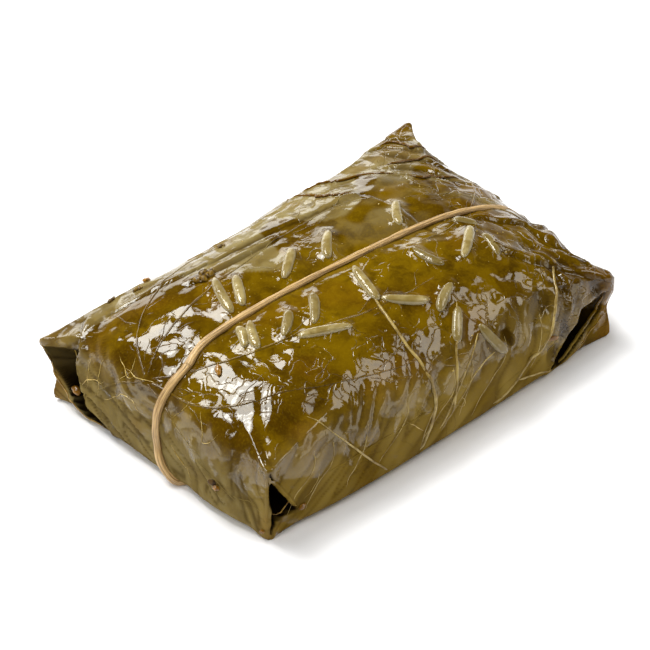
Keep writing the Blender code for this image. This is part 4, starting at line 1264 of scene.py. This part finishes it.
# %% Rolled rims and golden edges
RIMS = (
    ((0.30, 0.42, 0.34), ((-39.5, -26.0, 14.7), (-38.0, -26.3, 11.6), (-35.8, -26.4, 8.0),
                          (-33.4, -26.5, 4.4))),
    ((0.30, 0.36, 0.30), ((-39.9, -25.6, 14.6), (-39.6, -25.5, 10.6), (-39.5, -25.4, 6.2),
                          (-39.6, -25.4, 3.4))),
    ((0.22, 0.30, 0.20), ((-42.4, 21.6, 13.4), (-41.6, 20.0, 11.0), (-41.5, 19.4, 7.6),
                          (-41.5, 17.6, 4.2))),
    ((0.26, 0.34, 0.22), ((39.8, -25.6, 9.4), (36.0, -26.0, 6.4), (31.0, -26.6, 3.4), (27.2, -27.0, 1.2))),
)
GOLD_EDGES = (
    ((0.13, 0.17, 0.14, 0.10), ((-43.0, 28.0, 13.0), (-42.4, 27.2, 9.8), (-41.9, 26.0, 5.8),
                                (-41.6, 23.2, 3.4), (-41.4, 19.8, 1.8), (-41.2, 13.0, 0.8))),
    ((0.10, 0.13, 0.10), ((-41.9, 26.4, 4.2), (-42.2, 26.2, 1.6), (-41.8, 24.2, 0.5))),
    ((0.10, 0.14, 0.10), ((-37.6, -25.4, 4.9), (-36.2, -25.9, 5.6), (-35.0, -26.4, 5.3),
                          (-33.2, -26.7, 4.7))),
    ((0.08, 0.12, 0.08), ((40.8, -25.4, 4.6), (37.5, -25.9, 4.2), (35.2, -26.2, 3.4), (31.0, -26.8, 1.4))),
)
CORNER_EDGES = (
    ((33.0, 24.6, 15.9), (35.5, 23.8, 15.8), (36.5, 20.2, 16.4), (39.3, 19.1, 15.3)),
    ((28.5, 18.6, 18.8), (30.7, 17.2, 18.2), (35.0, 16.5, 17.2), (38.1, 14.7, 15.6)),
    ((28.5, 12.3, 19.4), (29.3, 10.5, 19.3), (32.3, 9.9, 18.7), (37.0, 8.1, 16.6)),
)
BROWN_RADII, BROWN_SHIFT, BROWN_SHADE = (0.14, 0.26, 0.24, 0.12), (0.25, 0.35, 0.0), 0.45
rims = [laid_tube(knots, radius, lift=0.0, sides=9) for radius, knots in RIMS]
browned = [run[:5] for _, _, run in LEAF_EDGES[:2]] + list(CORNER_EDGES)
brown_rims = [laid_tube(np.array(run) - BROWN_SHIFT, BROWN_RADII, lift=0.9) for run in browned]
points, faces = join(rims + brown_rims)
brown = np.arange(len(points)) >= sum(len(some_points) for some_points, _ in rims)
# painted shadow: the brown rims are darkened through the shade number, on top of their browned colour
rim_numbers = {**leaf_numbers(points), "shade": BROWN_SHADE * brown}
rim_numbers["toast"] = np.maximum(rim_numbers["toast"], brown)
rim_numbers["flap"] = rim_numbers["flap"] * ~brown
make_piece("leaf_rims", points, faces, leaf_finish, *LEAF, rim_numbers)

# %% [markdown]
# ## The finish of small things
# Dried edges, fibres, scraps and drops of broth are so small that one recipe serves them all: two
# colours mottled by noise and a wet coat. Only the colours, the size of the mottling and the
# wetness differ.

# %% The finish of small things
def plain_finish(name, dark, light, scale, wet, roughness=0.4):
    """A finish mottled between two colours, with a coat of broth as strong as wet says."""
    made = Finish(name)
    colour = made.blend(made.ramp(made.noise(scale, 3.0), 0.38, 0.62), dark, light)
    normal = made.bump(made.noise(scale * 2, 2.0), 0.04)
    return made.done(colour, roughness, normal, Coat_Weight=wet, Coat_Roughness=0.05, Specular_IOR_Level=0.2)


gold_material = plain_finish("dried_edge", (0.170, 0.085, 0.006), (0.370, 0.215, 0.036), 0.8, 0.8)
golds = [laid_tube(knots, radius, lift=0.5, sides=6) for radius, knots in GOLD_EDGES]
make_piece("leaf_gold_edges", *join(golds), gold_material, *LEAF)

# %% [markdown]
# ## Loose fibres
# Boiling frees hair-thin fibres from the ribs. They cling in loops and zigzags, mostly at the near
# end.

# %% Loose fibres
FIBRES = (
    ((-41.6, 13.4, 8.0), (-41.2, 6.7, 12.4), (-41.5, 4.6, 11.3), (-41.4, 3.0, 11.2)),
    ((-39.2, 10.5, 15.6), (-39.3, 5.7, 15.8), (-38.6, 2.7, 16.1)),
    ((-40.8, -2.8, 13.4), (-39.4, -4.6, 15.7), (-36.7, -5.4, 18.0)),
    ((-38.3, -7.9, 16.8), (-39.9, -9.9, 15.0), (-40.6, -11.2, 13.2), (-39.2, -13.2, 15.6)),
    ((-41.1, 19.8, 7.6), (-41.5, 16.4, 10.3), (-41.2, 13.2, 11.7)),
    ((-40.2, 18.0, 14.4), (-40.8, 17.6, 11.0), (-41.2, 17.9, 7.4)),
    ((-40.0, 15.2, 14.8), (-41.0, 14.6, 11.2), (-41.4, 14.9, 7.8)),
    ((-38.4, 12.4, 16.6), (-39.4, 9.8, 15.4), (-39.8, 8.8, 14.6), (-39.2, 7.6, 15.8)),
    ((-37.6, 9.6, 17.2), (-38.6, 9.0, 16.2), (-39.8, 9.4, 14.6), (-40.4, 10.6, 13.2)),
    ((8.1, -27.0, 12.1), (5.0, -27.5, 9.8), (1.2, -27.9, 6.6), (0.1, -27.9, 5.2)),
    ((-9.0, -27.5, 10.2), (-7.4, -27.8, 8.3), (-5.4, -27.9, 6.0)),
    ((2.4, -28.0, 7.6), (3.4, -28.0, 7.9), (4.0, -28.0, 7.0), (3.2, -28.0, 6.3), (2.4, -28.0, 6.9)),
    ((-28.0, -27.0, 10.4), (-29.4, -26.6, 7.4), (-31.6, -26.4, 5.2)),
    ((-41.4, -4.0, 9.0), (-41.6, -7.6, 6.4), (-41.4, -8.6, 3.8)),
)
FIBRE_RADIUS, FIBRE_STEP, FIBRE_SWAY = 0.060, 0.5, 0.55
fibre_material = plain_finish("leaf_fibre", (0.30, 0.185, 0.025), (0.62, 0.45, 0.130), 0.9, 0.9)
fibres = []
for number, knots in enumerate(FIBRES):
    run = smooth_route([tuple(knot) for knot in knots], max(10, int(run_length(knots) / FIBRE_STEP)))
    sway = [bumps(run, 2.2, 70 + 3 * number + axis) for axis in range(3)]
    run += FIBRE_SWAY * np.stack(sway, axis=1)
    radius = FIBRE_RADIUS + 0.02 * math.sin(2 * number)
    radii = (0.5 * radius, radius, radius, 0.4 * radius)
    fibres.append(laid_tube([tuple(point) for point in run], radii, lift=0.9, sides=5))
make_piece("loose_fibres", *join(fibres), fibre_material, *LEAF)

# %% [markdown]
# ## Scraps
# Chopped herb, broken stalk ends and a dark speck stuck to the leaf in the pot. Each is a small
# ball of points pushed in and out by noise, pressed on to the skin. The herb lies in heaps of such
# lumps. A heap is given by its place, length, width and number of lumps, and a stalk end by its
# place, direction and size.

# %% Scraps
SCRAP_RINGS, SCRAP_SIDES, SCRAP_STAND = 12, 14, 0.22


def lump(place, heading_to, size, seed):
    """An uneven lump of the given length, width and height, half sunk in the leaf nearest to a place."""
    landed, normal, *_ = skin_tree.find_nearest(Vector(place))
    forward = Vector(heading_to)
    forward = (forward - normal * forward.dot(normal)).normalized()
    axes = np.array((forward, normal.cross(forward), normal))
    along = np.cos(np.linspace(0.08, np.pi - 0.08, SCRAP_RINGS))
    turn = np.linspace(0, 2 * np.pi, SCRAP_SIDES, endpoint=False)
    across = np.sqrt(1 - along ** 2)
    ball = np.stack((np.repeat(along, SCRAP_SIDES), np.outer(across, np.cos(turn)).ravel(),
                     np.outer(across, np.sin(turn)).ravel()), axis=1)
    ball *= (1 + 0.35 * bumps(ball, 0.8, seed))[:, None]
    points = np.array(landed) + (ball * np.array(size) / 2) @ axes + np.array(normal) * size[2] * SCRAP_STAND
    return points, tube_quads(SCRAP_RINGS, SCRAP_SIDES)


HERB_HEAPS = (
    ((-18.3, 13.5, 21.6), 3.6, 2.2, 15), ((-8.9, 19.5, 19.3), 1.8, 1.3, 4),
    ((-25.7, 22.3, 18.0), 1.9, 1.4, 5), ((-29.8, 24.6, 16.0), 1.9, 1.4, 5),
    ((-33.0, 25.9, 14.6), 1.2, 1.0, 2),
)
STALK_ENDS = (
    ((-31.6, -5.0, 20.1), (0.64, 0.77, 0.0), (2.2, 1.2, 0.9)),
    ((-41.3, 21.0, 5.1), (0.1, 1.0, 0.2), (2.0, 1.3, 1.0)),
    ((-41.4, -15.2, 6.6), (0.0, 1.0, 0.2), (1.3, 1.0, 0.9)),
    ((-32.5, -26.2, 4.2), (1.0, 0.1, 0.3), (1.5, 0.9, 0.8)),
    ((-39.7, -24.6, 1.9), (1.0, -0.6, 0.0), (0.9, 0.7, 0.8)),
    ((25.6, -27.2, 8.3), (1.0, 0.1, -0.1), (2.0, 1.1, 0.5)),
    ((-22.5, 23.7, 17.2), (1.0, 0.0, 0.0), (1.4, 1.0, 0.9)),
)
HEAP_SPREAD, LUMP_SHARE = 0.42, 0.42


def herb_heap(place, long_side, short_side, count, turn):
    """Lumps that fill an oval from its middle outward, each turned on from the last."""
    for piece in range(count):
        angle, reach = 2.4 * piece + turn, HEAP_SPREAD * math.sqrt((piece + 0.3) / count)
        spot = (place[0] + long_side * reach * math.cos(angle),
                place[1] + short_side * reach * math.sin(angle), place[2])
        size = LUMP_SHARE * short_side * (1 + 0.35 * math.sin(3 * piece))
        yield lump(spot, (math.cos(2 * piece), math.sin(2 * piece), 0.1), (1.5 * size, size, size), piece)


herbs = [one for number, heap in enumerate(HERB_HEAPS) for one in herb_heap(*heap, number)]
herb_material = plain_finish("cooked_herb", (0.055, 0.026, 0.001), (0.190, 0.105, 0.006), 1.3, 0.25)
make_piece("herb_scraps", *join(herbs), herb_material, *LEAF)
nubs = [lump(*stalk_end, number + 40) for number, stalk_end in enumerate(STALK_ENDS)]
nub_material = plain_finish("leaf_nub", (0.150, 0.060, 0.002), (0.300, 0.135, 0.008), 0.9, 0.9)
make_piece("leaf_nubs", *join(nubs), nub_material, *LEAF)
speck = lump((-41.3, -14.2, 7.2), (0, 1, 0), (1.4, 1.2, 0.25), 62)
speck_material = plain_finish("dark_spot", (0.030, 0.013, 0.001), (0.085, 0.040, 0.003), 1.1, 0.12)
make_piece("dark_spots", *speck, speck_material, *LEAF)

# %% [markdown]
# ## Beads of broth
# Tiny clear drops stand where the film of oil breaks, most of all beside the grains. Each is a low
# dome that throws one bright glint.

# %% Beads of broth
BEAD_COUNT, BEADS_BY_GRAINS = 280, 200
BEAD_SIDES, BEAD_RINGS, BEAD_FLATNESS = 8, 4, 0.75
BEAD_SIZES = 0.12, 0.34
turn = np.linspace(0, 2 * np.pi, BEAD_SIDES, endpoint=False)
lean = np.linspace(-0.5, np.pi / 2 - 0.15, BEAD_RINGS)
BEAD = np.stack((np.outer(np.cos(lean), np.cos(turn)).ravel(), np.outer(np.cos(lean), np.sin(turn)).ravel(),
                 np.repeat(np.sin(lean) * BEAD_FLATNESS, BEAD_SIDES)), axis=1)
BEAD_FACES = tube_quads(BEAD_RINGS, BEAD_SIDES)


def standing_axes(normal):
    """Two directions along the leaf, square to its outward direction."""
    across = normal.orthogonal().normalized()
    return tuple(across), tuple(normal.cross(across))


random = np.random.default_rng(7)
bead_shapes = []
for number in range(BEAD_COUNT):
    if number < BEADS_BY_GRAINS:
        spot, forward, sideways, _ = grain_frames[number % len(grain_frames)]
        reach = random.normal(0, 2.8), random.normal(0, 1.6)
        place = spot + forward * reach[0] + sideways * reach[1]
    else:
        place = random.uniform(-34, 34), random.uniform(-22, 22)
    size = random.uniform(*BEAD_SIZES)
    landed, normal = straight_below(skin_tree, place[0], place[1])
    if landed is None:
        continue
    axes = np.array((*standing_axes(normal), tuple(normal)))
    bead_shapes.append((np.array(landed) + (BEAD * size / 2) @ axes, BEAD_FACES))
bead_material = plain_finish("broth_bead", (0.30, 0.19, 0.020), (0.45, 0.31, 0.060), 0.5, 1.0, 0.2)
make_piece("broth_beads", *join(bead_shapes), bead_material, *LEAF)

# %% [markdown]
# ## Floor, light and camera
# A pale floor carries the parcel. Three bright windows, high behind, on the left and above, make
# the wet leaf flash white. A broad dim panel on the right greys its front shoulder, a pale card
# behind lights the back, and two low warm cards light the ends. A soft fill from above leaves no
# mirror image. A pale horizon all round lightens the edges seen at a slant.

# %% Floor
floor_mesh = bpy.data.meshes.new("floor")
floor_mesh.from_pydata([(-3, -3, 0), (3, -3, 0), (3, 3, 0), (-3, 3, 0)], [], [(0, 1, 2, 3)])
floor = stand("floor", floor_mesh)
floor_finish = Finish("pale_floor")
floor_mesh.materials.append(floor_finish.done((0.925, 0.92, 0.975, 1.0), 0.9, Specular_IOR_Level=0.1))
floor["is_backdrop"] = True

# %% Light
DAYLIGHT, DIM_LIGHT, WARM_LIGHT = (0.985, 0.992, 0.94), (1.0, 0.975, 0.88), (1.0, 0.95, 0.78)
LAMPS = (
    ("window", (-0.05, 0.56, 0.83), 0.75, 0.34, 0.30, 14.0, DAYLIGHT),
    ("side_window", (-0.66, -0.02, 0.75), 0.80, 0.24, 0.26, 10.0, DAYLIGHT),
    ("ridge_window", (-0.16, 0.33, 0.92), 0.80, 0.30, 0.24, 11.0, DAYLIGHT),
    ("panel", (0.60, -0.42, 0.75), 0.80, 0.40, 0.30, 4.5, DIM_LIGHT),
    ("back_card", (0.25, 0.95, 0.25), 0.90, 1.00, 0.26, 3.2, DAYLIGHT),
    ("fill", (0.0, -0.1, 1.0), 0.90, 1.2, 1.2, 0.35, DAYLIGHT),
    ("left_card", (-0.85, 0.50, 0.14), 0.90, 0.50, 0.20, 2.0, WARM_LIGHT),
    ("front_card", (0.50, -0.85, 0.16), 0.95, 0.60, 0.22, 1.8, WARM_LIGHT),
)
middle = np.array(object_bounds()).mean(axis=0)


def soft_light(name, direction, distance, width, height, radiance, colour):
    """A rectangular lamp that looks at the object. radiance is how bright its face looks."""
    lamp = bpy.data.lights.new(name, "AREA")
    lamp.shape = "RECTANGLE"
    lamp.size, lamp.size_y = width, height
    lamp.energy = radiance * math.pi * width * height
    lamp.color = colour
    holder = stand(name, lamp)
    toward = Vector(direction).normalized()
    holder.location = Vector(middle) + toward * distance
    holder.rotation_euler = toward.to_track_quat("Z", "Y").to_euler()
    holder.visible_glossy = name != "fill"


for lamp_row in LAMPS:
    soft_light(*lamp_row)
print(len(LAMPS), "lamps")

# %% Sky
HORIZON, OVERHEAD = (0.10, 0.75), (0.42, 0.02)
sky = bpy.data.worlds.new("sky")
bpy.context.scene.world = sky
sky.use_nodes = True
sky_tree = sky.node_tree
background = sky_tree.nodes["Background"]
direction, parts, fade = (sky_tree.nodes.new("ShaderNode" + kind) for kind in (
    "TexCoord", "SeparateXYZ", "MapRange"))
sky_tree.links.new(direction.outputs["Generated"], parts.inputs[0])
sky_tree.links.new(parts.outputs["Z"], fade.inputs[0])
for socket, value in zip(fade.inputs[1:5], (HORIZON[0], OVERHEAD[0], HORIZON[1], OVERHEAD[1])):
    socket.default_value = value
sky_tree.links.new(fade.outputs[0], background.inputs["Strength"])
background.inputs["Color"].default_value = (1.0, 0.985, 0.91, 1.0)
print("sky strength", HORIZON[1], "at the horizon,", OVERHEAD[1], "overhead")

# %% Camera
AZIMUTH, ELEVATION, DISTANCE = math.radians(-42.7), math.radians(40.38), 1.0
FRAME_WIDTH, SENSOR = 0.11224, 36.0
aim = Vector((middle[0], middle[1], 0)) + Vector((-1.99, 1.38, 9.07)) * MM
back = Vector((math.sin(AZIMUTH) * math.cos(ELEVATION), -math.cos(AZIMUTH) * math.cos(ELEVATION),
               math.sin(ELEVATION)))
camera_data = bpy.data.cameras.new("camera")
camera_data.sensor_width = SENSOR
camera_data.lens = SENSOR * DISTANCE / FRAME_WIDTH
camera = stand("camera", camera_data)
camera.location = aim + back * DISTANCE
camera.rotation_euler = back.to_track_quat("Z", "Y").to_euler()
bpy.context.scene.camera = camera
bpy.context.scene.view_settings.view_transform = "Standard"
print("camera lens", round(camera_data.lens, 1), "mm")

# %% [markdown]
# ## Bringing the scene up to date
# The view layer is updated, so every piece stands in its final place.

# %% Bringing the scene up to date
bpy.context.view_layer.update()
